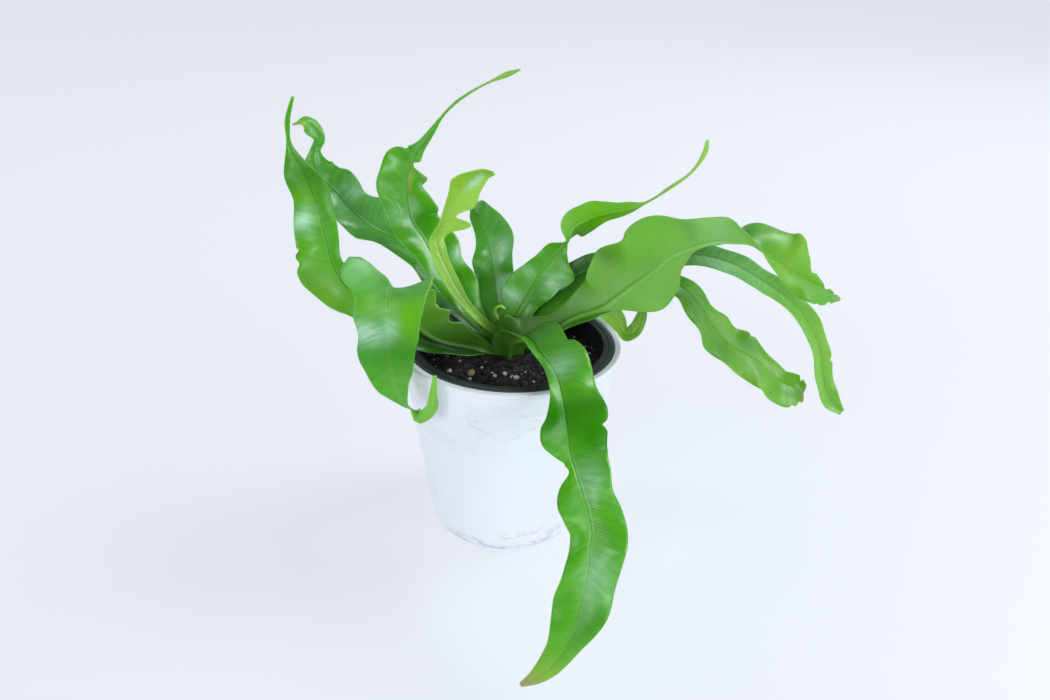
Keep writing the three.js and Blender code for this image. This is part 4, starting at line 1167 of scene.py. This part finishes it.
class FERN_OT_fronds(bpy.types.Operator):
    """Make the grown fronds, the lime green one and the crozier"""

    bl_idname = "fern.fronds"
    bl_label = "Fronds"

    def execute(self, context):
        s = context.scene.fern_fronds
        veins = vein_group()
        looks = {
            "leaf": leaf_material("Leaf", s, veins, s.green, s.deep, s.under, s.roughness, 0.15),
            "back_leaf": leaf_material(
                "Back leaf", s, veins, s.cool, s.deep, s.under, s.roughness, 0.15,
            ),
            "young_leaf": leaf_material(
                "Young leaf", s, veins, s.young, s.warm, s.young, s.roughness - 0.04, 0.3,
            ),
        }
        for name in FRONDS:
            slot = "young_leaf" if "young" in name else "back_leaf" if "back" in name else "leaf"
            stand_for(frond_piece(name, s, looks[slot]), name)
        return {"FINISHED"}


class FERN_OT_stage(bpy.types.Operator):
    """Make the floor, the lights and the camera"""

    bl_idname = "fern.stage"
    bl_label = "Stage"

    def execute(self, context):
        settings = context.scene.fern_stage
        scene = context.scene
        half = settings.floor_size / 2
        x, y = half * np.array([[-1, 1, 1, -1], [-1, -1, 1, 1]])
        corners = np.stack([x, y, np.full(4, FLOOR_LEVEL)], axis=1)
        shade = tuple(settings.floor)
        material, _, _ = finish_material(
            "Pale floor", Base_Color=shade, Roughness=0.5, Emission_Color=shade,
            Emission_Strength=settings.glow,
        )
        floor = mesh_piece("floor", corners, np.array([[0, 1, 2, 3]]), [material], smooth=False)
        for name, place, wide, tall, power in (
            ("ceiling", (1.36, 0.56, 1.61), 0.96, 0.96, settings.ceiling),
            ("left_window", (-1.6, -1.52, 0.89), 0.8, 0.8, settings.left),
            ("front_window", (-0.56, -2.24, 1.29), 0.72, 0.72, settings.front),
            ("right_window", (2.0, -1.04, 0.73), 1.6, 0.8, settings.right),
        ):
            light = bpy.data.lights.new(name, "AREA")
            light.color = LAMP_COLOUR
            light.shape, light.size, light.size_y, light.energy = "RECTANGLE", wide, tall, power
            lamp = bpy.data.objects.new(name, light)
            lamp.location = place
            lamp.rotation_euler = (AIM - lamp.location).to_track_quat("-Z", "Y").to_euler()
            scene.collection.objects.link(lamp)
        scene.world = surroundings(settings.room, settings.dim)
        scene.view_settings.view_transform = "Standard"
        camera = bpy.data.cameras.new("camera")
        camera.sensor_width = SENSOR_WIDTH
        camera.lens = CAMERA_LENS
        camera.clip_end = 30
        eye = bpy.data.objects.new("camera", camera)
        eye.matrix_world = camera_matrix()
        scene.collection.objects.link(eye)
        scene.camera = eye
        return {"FINISHED"}


def surroundings(strength, dim):
    """A soft room: pale behind the plant and at eye level all round, dimmer on the camera's
    side."""
    world = bpy.data.worlds.new("Room")
    world.use_nodes = True
    tree = world.node_tree
    tree.nodes.clear()
    n = Nodes(tree)
    _, y, z = n.split(n.add("TexCoord").outputs["Generated"])
    far = n.math("MAXIMUM", n.ramp(y, -0.3, 0.6), n.ramp(z, 0.22, 0.04, 0.0, 0.9))
    tone = n.mix(far, (dim * 0.95, dim, dim * 1.08), (0.84, 0.90, 1.0))
    tone = n.mix(n.ramp(z, 0.25, 0.8, 0.0, 0.75), tone, (dim, dim, dim * 1.1))
    shade = n.feed(n.add("Background"), Color=tone, Strength=strength)
    tree.links.new(shade[0], n.add("OutputWorld").inputs[0])
    return world


def camera_matrix():
    """The camera looks along +Y, dipped by its pitch and then rolled about its own axis."""
    pitch = Matrix.Rotation(math.radians(90 - CAMERA_PITCH), 4, "X")
    roll = Matrix.Rotation(math.radians(CAMERA_ROLL), 4, "Z")
    return Matrix.Translation(CAMERA_PLACE) @ pitch @ roll


class FERN_PT_panel(bpy.types.Panel):
    """Lists the settings and the steps"""

    bl_idname = "FERN_PT_panel"
    bl_label = "Potted fern"
    bl_space_type = "VIEW_3D"
    bl_region_type = "UI"
    bl_category = "Potted fern"

    def draw(self, context):
        layout = self.layout
        for operator in STEPS:
            layout.operator(operator.bl_idname)
        for key in GROUPS:
            settings = getattr(context.scene, key)
            box = layout.box()
            for field in settings.bl_rna.properties:
                if field.identifier not in {"rna_type", "name"}:
                    box.prop(settings, field.identifier)


STEPS = (
    FERN_OT_outer_pot, FERN_OT_nursery_pot, FERN_OT_soil, FERN_OT_crown, FERN_OT_fronds,
    FERN_OT_stage,
)
GROUPS = {
    "fern_fronds": FrondSettings,
    "fern_pots": PotSettings,
    "fern_soil": SoilSettings,
    "fern_stage": StageSettings,
}


def register():
    for group in GROUPS.values():
        bpy.utils.register_class(group)
    for key, group in GROUPS.items():
        setattr(bpy.types.Scene, key, PointerProperty(type=group))
    for operator in STEPS:
        bpy.utils.register_class(operator)
    bpy.utils.register_class(FERN_PT_panel)


def unregister():
    bpy.utils.unregister_class(FERN_PT_panel)
    for operator in reversed(STEPS):
        bpy.utils.unregister_class(operator)
    for key, group in GROUPS.items():
        delattr(bpy.types.Scene, key)
        bpy.utils.unregister_class(group)


def main():
    register()
    for operator in STEPS:
        kind, name = operator.bl_idname.split(".")
        if getattr(getattr(bpy.ops, kind), name)() != {"FINISHED"}:
            raise RuntimeError(operator.bl_label + " was not made")


if __name__ == "__main__":
    main()
